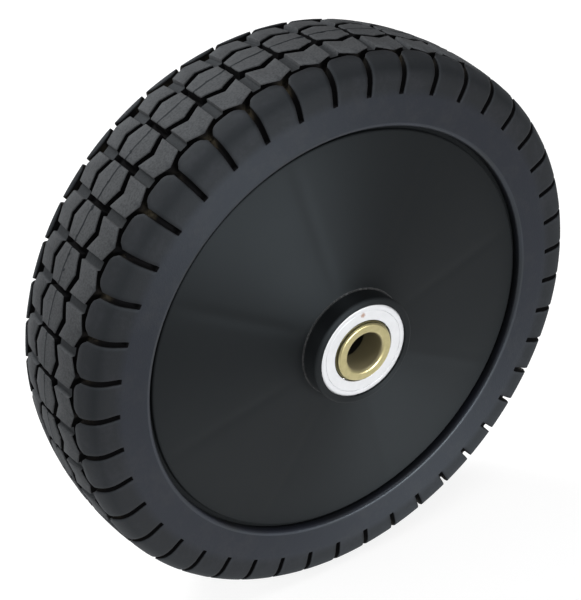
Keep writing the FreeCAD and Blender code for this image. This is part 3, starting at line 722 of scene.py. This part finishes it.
def rim_corners(rim):
    """Corners of the rim's section: radius, offset and rounding, from the front seat outwards and back."""
    bore = rim.barrel_radius - rim.barrel_wall
    return [
        (rim.seat_radius, rim.boss_front, CRISP_ROUND),
        (rim.boss_radius, rim.boss_front, BOSS_ROUND),
        (rim.boss_radius, rim.disc_root - rim.boss_flare, CRISP_ROUND),
        (rim.boss_radius + rim.boss_flare, rim.disc_root, CRISP_ROUND),
        (rim.disc_radius, rim.disc_edge, DISC_ROUND),
        (rim.disc_radius, -rim.half_barrel, MOULD_ROUND),
        (rim.barrel_radius, -rim.half_barrel, MOULD_ROUND),
        (rim.barrel_radius, rim.half_barrel, MOULD_ROUND),
        (bore, rim.half_barrel, DISC_ROUND),
        (bore, rim.disc_edge + rim.disc_wall, INSIDE_ROUND),
        (rim.boss_radius, rim.disc_root + rim.disc_wall, INSIDE_ROUND),
        (rim.boss_radius, rim.boss_back, BOSS_ROUND),
        (rim.seat_radius, rim.boss_back, MOULD_ROUND),
        (rim.seat_radius, rim.seat_floor_back, MOULD_ROUND),
        (rim.hub_bore, rim.seat_floor_back, MOULD_ROUND),
        (rim.hub_bore, rim.seat_floor_front, MOULD_ROUND),
        (rim.seat_radius, rim.seat_floor_front, MOULD_ROUND),
    ]


def rim_ribs(rim, first):
    """Ribs between boss and barrel: a round-topped section with flared feet, carried out from the boss.

    At each radius the feet lie in the disc's back and the top on a line from boss to barrel. The section
    runs up one side, over the top and down the other, and the two ends are closed inside the walls.
    """
    bore = rim.barrel_radius - rim.barrel_wall
    reach = np.linspace(rim.boss_radius - RIB_BURIED, bore + RIB_BURIED, RIB_STEPS)
    share_out = (reach - rim.boss_radius) / (bore - rim.boss_radius)
    foot = rim.disc_root + rim.disc_wall + (rim.disc_edge - rim.disc_root) * share_out
    top = rim.rib_hub_end + (rim.rib_barrel_end - rim.rib_hub_end) * share_out
    sideways = RIB_SIDEWAYS + rim.rib_wall / 2
    height = np.concatenate([foot + RIB_ABOVE_FOOT[:, None], top - RIB_BELOW_TOP[:, None]])
    section_side = np.concatenate([-sideways, sideways[::-1]])
    section_height = np.concatenate([height, height[::-1]])
    turn = rim.rib_angle + FULL_TURN / rim.rib_count * np.arange(rim.rib_count)
    out = np.stack([np.sin(turn), np.zeros_like(turn), np.cos(turn)], axis=-1)[:, None, None]
    beside = np.stack([np.cos(turn), np.zeros_like(turn), -np.sin(turn)], axis=-1)[:, None, None]
    axle = np.array([0.0, 1.0, 0.0])
    points = (
        out * reach[None, :, None, None]
        + beside * section_side[None, None, :, None]
        + axle * section_height.T[None, :, :, None]
    )
    around = len(section_side)
    ring = np.arange(around)
    faces = []
    for rib in range(rim.rib_count):
        start = first + rib * RIB_STEPS * around
        faces += grid_quads(RIB_STEPS, around, first=start)[:, ::-1].tolist()
        faces.append((start + ring).tolist())
        faces.append((start + (RIB_STEPS - 1) * around + ring[::-1]).tolist())
    return points.reshape(-1, 3), faces


# Bearings

BEARING_COLUMNS = 160
# Roundings of the bearings' edges
GROUND_ROUND = 0.15 * MM
OUTER_RACE_ROUND = 0.8 * MM
INNER_RACE_ROUND = 0.7 * MM
SHIELD_ROUND = 0.25 * MM
DUST_LIP_ROUND = 0.1 * MM
# Distance of the rows that keep smooth shading in a bearing's corners
BEARING_SUPPORT = 0.1 * MM
# How far the bore's film reaches out over its mouth
FILM_FADE = 0.5 * MM


def at_end(outline, end, hub_turn):
    """A front bearing piece's outline, or the same turned end for end for the rear bearing."""
    if end == "front":
        return outline
    return np.stack([outline[:, 0], hub_turn - outline[:, 1]], axis=-1)[::-1]


def bearing_outlines(bearing):
    """Sections of the front bearing's race, two shields and inner race, with rounded corners."""
    fine = GROUND_ROUND
    front = bearing.race_front
    back = front + bearing.race_length
    seat = bearing.shield_seat
    wall = bearing.shield_wall
    hole = bearing.shield_hole
    outer_race = [
        (seat, front, fine),
        (bearing.race_radius, front, OUTER_RACE_ROUND),
        (bearing.race_radius, back, OUTER_RACE_ROUND),
        (seat, back, fine),
        (seat, back - wall, fine),
        (bearing.land_radius, back - wall, fine),
        (bearing.land_radius, front + wall, fine),
        (seat, front + wall, fine),
    ]
    outer_shield = [
        (hole, front, SHIELD_ROUND),
        (seat, front, SHIELD_ROUND),
        (seat, front + wall, fine),
        (hole, front + wall, fine),
    ]
    inner_shield = [
        (hole, back - wall, fine),
        (seat, back - wall, fine),
        (seat, back, SHIELD_ROUND),
        (hole, back, SHIELD_ROUND),
    ]
    inner_front = bearing.inner_front
    inner_back = inner_front + bearing.inner_length
    lip_radius = hole - bearing.lip_gap
    lip_front = front + bearing.lip_recess
    inner_race = [
        (bearing.bore_radius, inner_front, bearing.mouth_round),
        (bearing.inner_radius, inner_front, INNER_RACE_ROUND),
        (bearing.inner_radius, lip_front, DUST_LIP_ROUND),
        (lip_radius, lip_front, DUST_LIP_ROUND),
        (lip_radius, front + wall, DUST_LIP_ROUND),
        (bearing.inner_radius, front + wall, DUST_LIP_ROUND),
        (bearing.inner_radius, inner_back, fine),
        (bearing.bore_radius, inner_back, fine),
    ]
    return {
        "outer_race": outer_race,
        "outer_shield": outer_shield,
        "inner_shield": inner_shield,
        "inner_race": inner_race,
    }


def make_bearings(bearing, materials):
    """Races and shields of both bearings: each section carried once around the axle.

    The inner races also get a number for the dull film, which is one in the bore and fades over its mouth.
    """
    finishes = {
        "outer_race": ("white_zinc", "wheel"),
        "outer_shield": ("white_zinc", "wheel"),
        "inner_shield": ("white_zinc", "wheel"),
        "inner_race": ("yellow_zinc", "axle_core"),
    }
    for kind, corners in bearing_outlines(bearing).items():
        slot, body = finishes[kind]
        outline = rounded_outline(corners, support=BEARING_SUPPORT)
        for end in ("front", "rear"):
            turned = at_end(outline, end, bearing.hub_turn)
            points, faces = turned_piece(turned, BEARING_COLUMNS)
            piece = new_piece(f"{kind}_{end}", points, faces, materials[slot], body, [f"{end}_{kind}"])
            if kind == "inner_race":
                in_bore = np.clip(1 - (turned[:, 0] - bearing.bore_radius) / FILM_FADE, 0, 1)
                add_attribute(piece.data, "bore", np.repeat(in_bore, BEARING_COLUMNS))


# Materials

# Tints of reflections in the rubber and in the plastic
RUBBER_TINT = (0.78, 0.90, 1.0, 1.0)
PLASTIC_TINT = (0.78, 0.91, 1.0, 1.0)
# Turn of the sheen from along a mould's marks to across them, as a share of a full turn
SHEEN_TURN = 0.25
# Range in which most values of a noise lie
NOISE_RANGE = (0.3, 0.7)
# Scales of the rubber's grain, and of the specks in its dust
RUBBER_GRAIN = {"Grain": 1500.0, "Patch": 45.0}
RUBBER_SPECKS = 900.0
# Depths of the groove, as shares of the full one, between which the blocks' colour turns into the painted
# groove shade
GROOVE_TURNS_DARK = (0.15, 0.55)
# Rust spot on the front shield: its middle, how ragged it is, and where its core and its edge end
RUST_PLACE = (-0.0007, -0.0315, 0.0143)
RUST_RAGGED = 1.2 * MM
RUST_CORE = 1.0 * MM
RUST_EDGE = 1.7 * MM
RUST_COVER = 0.75
# Painted shade on the inner races, where they lie back in the bearing: how far behind the face it starts and
# is full, and how much it covers
RECESS_SHADE_START = 0.35 * MM
RECESS_SHADE_FULL = 1.1 * MM
RECESS_SHADE_COVER = 0.9


class Nodes:
    """A node tree with short ways to add nodes and join them."""

    def __init__(self, tree):
        self.tree = tree

    def add(self, kind, **values):
        """New node, with its properties and its plain input values set by name."""
        node = self.tree.nodes.new(kind)
        for name, value in values.items():
            if hasattr(node, name):
                setattr(node, name, value)
            else:
                node.inputs[name.replace("_", " ").title()].default_value = value
        return node

    def join(self, output, node, name):
        """Link an output to the named or numbered input of a node."""
        self.tree.links.new(output, node.inputs[name])

    def math(self, operation, first, second):
        """Sum, product or other result of two values, each an output or a plain number."""
        node = self.add("ShaderNodeMath", operation=operation)
        for index, value in enumerate((first, second)):
            if isinstance(value, (int, float)):
                node.inputs[index].default_value = value
            else:
                self.join(value, node, index)
        return node.outputs[0]

    def stretch(self, value, low, high, to_low=0.0, to_high=1.0):
        """A value moved from one range to another, and held inside it."""
        node = self.add("ShaderNodeMapRange")
        self.join(value, node, "Value")
        for name, number in (("From Min", low), ("From Max", high), ("To Min", to_low), ("To Max", to_high)):
            node.inputs[name].default_value = number
        return node.outputs["Result"]

    def between(self, portion, low, high):
        """A value from one number to another, as a portion goes from zero to one."""
        return self.stretch(portion, 0.0, 1.0, low, high)

    def unsigned(self, value):
        """A value without its sign."""
        return self.math("ABSOLUTE", value, 0.0)

    def blend(self, factor, first, second):
        """Colour between two colours, each an output or plain values."""
        node = self.add("ShaderNodeMix", data_type="RGBA")
        self.join(factor, node, "Factor")
        for index, value in ((6, first), (7, second)):
            if hasattr(value, "is_linked"):
                self.join(value, node, index)
            else:
                node.inputs[index].default_value = (*value, 1)
        return node.outputs[2]

    def noise(self, place, scale, detail=2.0):
        """Noise at a place, finer as the scale grows."""
        node = self.add("ShaderNodeTexNoise")
        node.inputs["Detail"].default_value = detail
        self.join(place, node, "Vector")
        if isinstance(scale, (int, float)):
            node.inputs["Scale"].default_value = scale
        else:
            self.join(scale, node, "Scale")
        return node.outputs["Fac"]

    def attribute(self, name):
        """The mesh's own number at each point."""
        return self.add("ShaderNodeAttribute", attribute_name=name).outputs["Fac"]

    def object_place(self):
        """Place on the object, in metres."""
        return self.add("ShaderNodeTexCoord").outputs["Object"]

    def place_parts(self):
        """X, Y and Z of the place on the object."""
        node = self.add("ShaderNodeSeparateXYZ")
        self.join(self.object_place(), node, 0)
        return node.outputs

    def ring_direction(self):
        """Direction around the axle, along which a turned mould leaves its fine marks."""
        return self.add("ShaderNodeTangent", direction_type="RADIAL", axis="Y").outputs["Tangent"]

    def use(self, group, **values):
        """A shared effect with its own values."""
        node = self.add("ShaderNodeGroup")
        node.node_tree = group
        for name, value in values.items():
            if isinstance(value, (int, float)):
                node.inputs[name].default_value = value
            else:
                self.join(value, node, name)
        return node

    def bump(self, height, strength, distance):
        """Normal over a height."""
        node = self.add("ShaderNodeBump")
        node.inputs["Strength"].default_value = strength
        node.inputs["Distance"].default_value = distance
        self.join(height, node, "Height")
        return node.outputs["Normal"]


def new_group(name, inputs, outputs):
    """Empty shared effect with float sockets: inputs with defaults, then outputs."""
    tree = bpy.data.node_groups.new(name, "ShaderNodeTree")
    for label, value in inputs.items():
        socket = tree.interface.new_socket(label, in_out="INPUT", socket_type="NodeSocketFloat")
        socket.default_value = value
    for label in outputs:
        tree.interface.new_socket(label, in_out="OUTPUT", socket_type="NodeSocketFloat")
    nodes = Nodes(tree)
    return nodes, nodes.add("NodeGroupInput"), nodes.add("NodeGroupOutput")


def moulded_grain():
    """Shared effect: the fine grain of a moulded surface, and broad faint patches."""
    nodes, given, result = new_group("moulded_grain", {"Grain": 900.0, "Patch": 30.0}, ["Height", "Patches"])
    place = nodes.object_place()
    nodes.join(nodes.noise(place, given.outputs["Grain"], 3.0), result, "Height")
    patches = nodes.noise(place, given.outputs["Patch"], 4.0)
    nodes.join(nodes.stretch(patches, *NOISE_RANGE), result, "Patches")
    return nodes.tree


def settled_dust():
    """Shared effect: dust that lies in patches and specks where a mask lets it."""
    cloud_scale = 140.0
    cloud_share = 0.6
    contrast = 5.0
    nodes, given, result = new_group("settled_dust", {"Mask": 1.0, "Specks": 700.0, "Cover": 0.5}, ["Dust"])
    place = nodes.object_place()
    clouds = nodes.math("MULTIPLY", nodes.noise(place, cloud_scale, 4.0), cloud_share)
    specks = nodes.math("MULTIPLY", nodes.noise(place, given.outputs["Specks"], 2.0), 1 - cloud_share)
    both = nodes.math("ADD", clouds, specks)
    open_at = nodes.math("SUBTRACT", 1.0, given.outputs["Cover"])
    shown = nodes.math("MULTIPLY", nodes.math("SUBTRACT", both, open_at), contrast)
    held = nodes.stretch(shown, 0.0, 1.0)
    nodes.join(nodes.math("MULTIPLY", held, given.outputs["Mask"]), result, "Dust")
    return nodes.tree


def plating_mottle():
    """Shared effect: cloudy plating with fine turning marks around the axle."""
    nodes, given, result = new_group("plating_mottle", {"Clouds": 160.0, "Marks": 2600.0}, ["Cloud", "Marks"])
    clouds = nodes.noise(nodes.object_place(), given.outputs["Clouds"], 4.0)
    nodes.join(nodes.stretch(clouds, *NOISE_RANGE), result, "Cloud")
    parts = nodes.place_parts()
    square = nodes.math(
        "ADD", nodes.math("MULTIPLY", parts["X"], parts["X"]), nodes.math("MULTIPLY", parts["Z"], parts["Z"])
    )
    radius = nodes.math("SQRT", square, 0.0)
    line = nodes.add("ShaderNodeCombineXYZ")
    nodes.join(nodes.math("MULTIPLY", radius, given.outputs["Marks"]), line, "X")
    nodes.join(nodes.noise(line.outputs[0], 1.0, 1.0), result, "Marks")
    return nodes.tree


def new_material(name, values):
    """Material with a principled shader, its plain values set on its own sockets."""
    material = bpy.data.materials.new(name)
    material.use_nodes = True
    shader = material.node_tree.nodes["Principled BSDF"]
    for label, value in values.items():
        shader.inputs[label].default_value = value
    return material, Nodes(material.node_tree), shader


def torn_seam(nodes):
    """Mask of the mould seam's wandering line along the middle of the tread, and of torn places beside it.

    Edges of the line and reaches are millimetres across the tread.
    """
    wander_scale = 160.0
    wander_reach = 1.6
    line_edge = (0.24, 0.46)
    tear_scale = 330.0
    tear_reach = (0.3, 1.9)
    tear_loss = 0.3
    tear_edge = (0.55, 0.59)
    place = nodes.object_place()
    across = nodes.attribute("across")
    swing = nodes.math("SUBTRACT", nodes.noise(place, wander_scale, 3.0), 0.5)
    wander = nodes.math("MULTIPLY", swing, wander_reach)
    line = nodes.stretch(nodes.unsigned(nodes.math("ADD", across, wander)), *line_edge, 1.0, 0.0)
    from_middle = nodes.stretch(nodes.unsigned(across), *tear_reach, 0.0, tear_loss)
    ragged = nodes.math("SUBTRACT", nodes.noise(place, tear_scale, 4.0), from_middle)
    return nodes.math("MAXIMUM", line, nodes.stretch(ragged, *tear_edge))


def tyre_rubber(tyre, grain, dust):
    """Black rubber: greyer blocks, bluish flanks, grooves and shoulder bend darkened by painted shade, dust
    at the shoulder.
    """
    material, nodes, shader = new_material(
        "tyre_rubber_finish",
        {
            "Specular IOR Level": 0.42,
            "Specular Tint": RUBBER_TINT,
            "Anisotropic": 0.7,
            "Anisotropic Rotation": SHEEN_TURN,
        },
    )
    surface = nodes.use(grain, **RUBBER_GRAIN)
    patches = surface.outputs["Patches"]
    grains = surface.outputs["Height"]
    settled = nodes.use(dust, Mask=nodes.attribute("dust"), Specks=RUBBER_SPECKS, Cover=0.62)
    clean = nodes.blend(nodes.attribute("flank"), tyre.rubber, tyre.flank)
    mottled = nodes.use(dust, Mask=0.8, Specks=600.0, Cover=0.52)
    plain = nodes.blend(mottled.outputs["Dust"], clean, tyre.bloom)
    worn = nodes.math("MULTIPLY", nodes.attribute("crown"), nodes.between(patches, 0.7, 1.0))
    grained = nodes.math("MULTIPLY", worn, nodes.stretch(grains, *NOISE_RANGE, 0.6, 1.3))
    # Painted shade: a dark band round the shoulder's bend, standing in for the dark reflection there
    bend = nodes.math("MULTIPLY", nodes.attribute("bend"), nodes.between(patches, 0.6, 1.0))
    # Painted shade: the blocks' colour turns near black as the groove deepens
    groove = nodes.stretch(nodes.attribute("groove"), *GROOVE_TURNS_DARK)
    marks = torn_seam(nodes)
    dark = nodes.math("MAXIMUM", nodes.math("MAXIMUM", groove, bend), marks)
    sunk = nodes.blend(dark, nodes.blend(grained, plain, tyre.worn), tyre.painted_shade_and_tear_colour)
    nodes.join(nodes.blend(settled.outputs["Dust"], sunk, tyre.dust), shader, "Base Color")
    dulled = nodes.between(nodes.attribute("crown"), 0.75, 0.85)
    smoothed = nodes.between(nodes.attribute("flank"), 0.0, 0.19)
    nodes.join(nodes.math("SUBTRACT", dulled, smoothed), shader, "Roughness")
    relief = nodes.math("SUBTRACT", grains, marks)
    nodes.join(nodes.bump(relief, strength=0.25, distance=0.2 * MM), shader, "Normal")
    nodes.join(nodes.ring_direction(), shader, "Tangent")
    return material


def groove_rubber(tyre, dust):
    """Dull black rubber of the grooves, its black a painted shade, with dust at the shoulder."""
    material, nodes, shader = new_material(
        "groove_rubber_finish", {"Specular IOR Level": 0.08, "Roughness": 0.9}
    )
    settled = nodes.use(dust, Mask=nodes.attribute("dust"), Specks=RUBBER_SPECKS, Cover=0.6)
    # Painted shade: the grooves' faces take the near-black colour
    nodes.join(nodes.blend(settled.outputs["Dust"], tyre.painted_shade_and_tear_colour, tyre.dust), shader, "Base Color")
    return material


def lip_rubber(tyre, grain):
    """Glossier rubber of the tyre's rounded lips."""
    material, nodes, shader = new_material(
        "lip_rubber_finish", {"Specular IOR Level": 0.5, "Specular Tint": RUBBER_TINT}
    )
    patches = nodes.use(grain, **RUBBER_GRAIN).outputs["Patches"]
    nodes.join(nodes.blend(patches, tyre.rubber, tyre.flank), shader, "Base Color")
    nodes.join(nodes.between(patches, 0.40, 0.46), shader, "Roughness")
    return material


def rim_plastic(rim, grain, dust):
    """Black moulded plastic with a satin gloss, faint rubbed places and a painted highlight line at the
    boss's foot.
    """
    material, nodes, shader = new_material(
        "rim_plastic_finish",
        {
            "Specular IOR Level": 0.27,
            "Specular Tint": PLASTIC_TINT,
            "Anisotropic": 0.75,
            "Anisotropic Rotation": SHEEN_TURN,
        },
    )
    surface = nodes.use(grain, Grain=2200.0, Patch=22.0)
    rubbed = nodes.use(dust, Mask=0.35, Specks=1400.0, Cover=0.42)
    scuffed = nodes.blend(rubbed.outputs["Dust"], rim.plastic, rim.scuff)
    nodes.join(nodes.blend(nodes.attribute("foot"), scuffed, rim.painted_foot_highlight), shader, "Base Color")
    nodes.join(nodes.between(surface.outputs["Patches"], 0.54, 0.60), shader, "Roughness")
    relief = nodes.bump(surface.outputs["Height"], strength=0.12, distance=0.1 * MM)
    nodes.join(relief, shader, "Normal")
    nodes.join(nodes.ring_direction(), shader, "Tangent")
    return material


def white_zinc(bearing, mottle):
    """Bright white plating with one small rust spot on the front shield."""
    material, nodes, shader = new_material("white_zinc_finish", {"Metallic": 0.3})
    plating = nodes.use(mottle, Clouds=220.0, Marks=5200.0)
    shade = tuple(0.8 * part for part in bearing.white_zinc)
    clean = nodes.blend(nodes.math("MULTIPLY", plating.outputs["Cloud"], 0.5), bearing.white_zinc, shade)
    place = nodes.object_place()
    spot = nodes.add("ShaderNodeVectorMath", operation="DISTANCE")
    nodes.join(place, spot, 0)
    spot.inputs[1].default_value = RUST_PLACE
    ragged = nodes.math("MULTIPLY", nodes.noise(place, 1800.0, 3.0), RUST_RAGGED)
    far = nodes.math("ADD", spot.outputs["Value"], ragged)
    rusty = nodes.stretch(far, RUST_CORE, RUST_EDGE, RUST_COVER, 0.0)
    nodes.join(nodes.blend(rusty, clean, bearing.rust), shader, "Base Color")
    nodes.join(nodes.between(plating.outputs["Cloud"], 0.38, 0.5), shader, "Roughness")
    relief = nodes.bump(plating.outputs["Marks"], strength=0.1, distance=0.05 * MM)
    nodes.join(relief, shader, "Normal")
    return material


def yellow_zinc(bearing, mottle):
    """Brassy plating with olive clouds, darkened by painted shade behind the two outer faces of the hub."""
    material, nodes, shader = new_material("yellow_zinc_finish", {})
    plating = nodes.use(mottle, Clouds=420.0, Marks=4200.0)
    clouded = nodes.math("MULTIPLY", plating.outputs["Cloud"], 0.55)
    bright = nodes.blend(clouded, bearing.yellow_zinc, bearing.olive)
    hub_middle = bearing.hub_turn / 2
    from_middle = nodes.unsigned(nodes.math("SUBTRACT", nodes.place_parts()["Y"], hub_middle))
    face = hub_middle - bearing.inner_front
    # Painted shade: the race darkens away from its outer face, inside the bearing
    recess_shade_mask = nodes.stretch(from_middle, face - RECESS_SHADE_FULL, face - RECESS_SHADE_START, RECESS_SHADE_COVER, 0.0)
    bore = nodes.attribute("bore")
    outside = nodes.blend(recess_shade_mask, bright, bearing.painted_recess_shade)
    nodes.join(nodes.blend(bore, outside, bearing.film), shader, "Base Color")
    nodes.join(nodes.between(bore, 1.0, 0.15), shader, "Metallic")
    nodes.join(nodes.between(plating.outputs["Cloud"], 0.32, 0.45), shader, "Roughness")
    relief = nodes.bump(plating.outputs["Marks"], strength=0.15, distance=0.05 * MM)
    nodes.join(relief, shader, "Normal")
    return material


def bare_steel(name, steel, mottle, roughness):
    """Bare steel for the balls or the spacer tube."""
    material, nodes, shader = new_material(name, {"Metallic": 1.0})
    plating = nodes.use(mottle, Clouds=260.0, Marks=1800.0)
    shade = tuple(0.75 * part for part in steel)
    clouded = nodes.math("MULTIPLY", plating.outputs["Cloud"], 0.5)
    nodes.join(nodes.blend(clouded, steel, shade), shader, "Base Color")
    nodes.join(nodes.between(plating.outputs["Cloud"], roughness, roughness + 0.1), shader, "Roughness")
    return material


# Stage

# Half the width of the floor in metres
FLOOR_REACH = 40.0
# Each light's place, width and height in metres
LIGHTS = {
    "top": ((-0.30, 0.62, 0.78), 0.5, 0.5),
    "left": ((-1.0, 0.1, 0.35), 0.6, 0.6),
    "over": ((0.05, -0.32, 1.05), 0.35, 0.35),
    "front": ((0.10, -1.0, 0.10), 0.7, 0.25),
}


def floor_glow(nodes, stage, lit):
    """Added brightness of the floor: even for the camera, and by the paint's shade in reflections.

    To the camera the glow grows where the paint is dark and where the lights don't reach, so that the
    floor looks evenly pale.
    """
    path = nodes.add("ShaderNodeLightPath")
    even = nodes.between(lit, stage.seen_glow + stage.floor[0], stage.seen_glow)
    distance = nodes.add("ShaderNodeVectorMath", operation="LENGTH")
    nodes.join(nodes.object_place(), distance, 0)
    far = nodes.stretch(distance.outputs["Value"], stage.far_start, stage.far_end, 0.0, stage.far_glow)
    seen = nodes.math("MULTIPLY", path.outputs["Is Camera Ray"], nodes.math("ADD", even, far))
    mirror_ray = nodes.math("MAXIMUM", path.outputs["Is Glossy Ray"], path.outputs["Is Transmission Ray"])
    shaded = nodes.math("MULTIPLY", lit, stage.mirrored_glow)
    return nodes.math("MAXIMUM", seen, nodes.math("MULTIPLY", mirror_ray, shaded))


def make_world(stage):
    """Even light from all around, which the camera sees as plain white."""
    world = bpy.data.worlds.new("white_room")
    world.use_nodes = True
    nodes = Nodes(world.node_tree)
    background = world.node_tree.nodes["Background"]
    background.inputs["Color"].default_value = (1, 1, 1, 1)
    seen = nodes.add("ShaderNodeLightPath").outputs["Is Camera Ray"]
    nodes.join(nodes.between(seen, stage.ambient, 1.0), background, "Strength")
    bpy.context.scene.world = world


def make_floor(stage):
    """Wide level floor, a grid of two corners by two, with dark paint in front of the wheel beside a lane."""
    side = np.array([-FLOOR_REACH, FLOOR_REACH])
    x, y = np.meshgrid(side, side, indexing="ij")
    points = np.stack([x, y, np.full_like(x, stage.floor_level)], axis=-1)
    mesh = bpy.data.meshes.new("floor")
    mesh.from_pydata(points.reshape(-1, 3).tolist(), [], [[0, 2, 3, 1]])
    material, nodes, shader = new_material("floor_paint", {"Roughness": 0.9, "Emission Color": (1, 1, 1, 1)})
    parts = nodes.place_parts()
    shade = nodes.stretch(parts["Y"], stage.shade_end, stage.shade_start, stage.shade_level, 1.0)
    lane_run = nodes.math("MULTIPLY", parts["Y"], stage.lane_slope)
    lane_place = nodes.math("ADD", lane_run, stage.lane_start)
    aside = nodes.unsigned(nodes.math("SUBTRACT", parts["X"], lane_place))
    lane = nodes.stretch(aside, stage.lane_half, 2 * stage.lane_half, stage.lane_level, 0.0)
    lit = nodes.math("MAXIMUM", shade, lane)
    nodes.join(nodes.blend(lit, (0, 0, 0), stage.floor), shader, "Base Color")
    nodes.join(floor_glow(nodes, stage, lit), shader, "Emission Strength")
    mesh.materials.append(material)
    floor = put_in_scene("floor", mesh)


def soft_light(name, place, width, height, power):
    """Rectangular area light that faces the middle of the wheel."""
    light = bpy.data.lights.new(name, "AREA")
    light.shape = "RECTANGLE"
    light.size = width
    light.size_y = height
    light.energy = power
    lamp = put_in_scene(name, light)
    lamp.location = place
    level = math.hypot(place[0], place[1])
    lamp.rotation_euler = (math.atan2(level, place[2]), 0, math.atan2(place[0], -place[1]))


def make_camera(stage):
    """Camera at the viewing angle of the wheel's picture."""
    camera = bpy.data.cameras.new("camera")
    camera.lens = stage.lens
    camera.clip_start = 0.01
    holder = put_in_scene("camera", camera)
    holder.location = stage.camera_place
    holder.rotation_euler = (math.pi / 2 - stage.camera_drop, 0, stage.camera_turn)
    bpy.context.scene.camera = holder


# Operators

def refinish(node, material):
    """Give a CAD node a finish in place of its own."""
    node.data.materials.clear()
    node.data.materials.append(material)


class MOWERWHEEL_OT_tyre(bpy.types.Operator):
    """Build the block-tread tyre"""

    bl_idname = "mowerwheel.tyre"
    bl_label = "Tyre"

    def execute(self, context):
        settings = context.scene.mower_tyre
        dust = settled_dust()
        grain = moulded_grain()
        make_tyre(
            settings,
            tyre_rubber(settings, grain, dust),
            groove_rubber(settings, dust),
            lip_rubber(settings, grain),
        )
        return {"FINISHED"}


class MOWERWHEEL_OT_rim(bpy.types.Operator):
    """Build the moulded rim with its ribs"""

    bl_idname = "mowerwheel.rim"
    bl_label = "Rim"

    def execute(self, context):
        settings = context.scene.mower_rim
        groups = bpy.data.node_groups
        make_rim(settings, rim_plastic(settings, groups["moulded_grain"], groups["settled_dust"]))
        return {"FINISHED"}


class MOWERWHEEL_OT_bearings(bpy.types.Operator):
    """Build both ball bearings and finish the balls and the spacer tube"""

    bl_idname = "mowerwheel.bearings"
    bl_label = "Bearings"

    def execute(self, context):
        settings = context.scene.mower_bearing
        mottle = plating_mottle()
        make_bearings(
            settings,
            {"white_zinc": white_zinc(settings, mottle), "yellow_zinc": yellow_zinc(settings, mottle)},
        )
        ball_steel = bare_steel("ball_steel_finish", settings.steel, mottle, roughness=0.08)
        # Painted shade: the spacer's dark colour stands in for the shade inside the hub
        spacer_steel = bare_steel("spacer_steel_finish", settings.painted_spacer_shade, mottle, roughness=0.35)
        for name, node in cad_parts.items():
            if "_ball_" in name:
                refinish(node, ball_steel)
        refinish(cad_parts["spacer_tube"], spacer_steel)
        return {"FINISHED"}


class MOWERWHEEL_OT_stage(bpy.types.Operator):
    """Set up the floor, the light and the camera"""

    bl_idname = "mowerwheel.stage"
    bl_label = "Stage"

    def execute(self, context):
        settings = context.scene.mower_stage
        make_world(settings)
        make_floor(settings)
        for name, (place, width, height) in LIGHTS.items():
            soft_light(f"{name}_light", place, width, height, getattr(settings, f"{name}_power"))
        make_camera(settings)
        context.scene.view_settings.view_transform = "Standard"
        return {"FINISHED"}


class MOWERWHEEL_PT_panel(bpy.types.Panel):
    """Sidebar panel that lists the steps of the wheel"""

    bl_idname = "MOWERWHEEL_PT_panel"
    bl_label = "Lawn mower wheel"
    bl_space_type = "VIEW_3D"
    bl_region_type = "UI"
    bl_category = "Mower wheel"

    def draw(self, context):
        for operator in OPERATORS:
            self.layout.operator(operator.bl_idname)


OPERATORS = (MOWERWHEEL_OT_tyre, MOWERWHEEL_OT_rim, MOWERWHEEL_OT_bearings, MOWERWHEEL_OT_stage)
SETTINGS = {
    "mower_tyre": TyreSettings,
    "mower_rim": RimSettings,
    "mower_bearing": BearingSettings,
    "mower_stage": StageSettings,
}


def register():
    for name, group in SETTINGS.items():
        bpy.utils.register_class(group)
        setattr(bpy.types.Scene, name, PointerProperty(type=group))
    for operator in OPERATORS:
        bpy.utils.register_class(operator)
    bpy.utils.register_class(MOWERWHEEL_PT_panel)


def unregister():
    bpy.utils.unregister_class(MOWERWHEEL_PT_panel)
    for operator in reversed(OPERATORS):
        bpy.utils.unregister_class(operator)
    for name, group in SETTINGS.items():
        delattr(bpy.types.Scene, name)
        bpy.utils.unregister_class(group)


def main():
    """Build the wheel and its stage."""
    register()
    bpy.ops.mowerwheel.tyre()
    bpy.ops.mowerwheel.rim()
    bpy.ops.mowerwheel.bearings()
    bpy.ops.mowerwheel.stage()


if __name__ == "__main__":
    main()
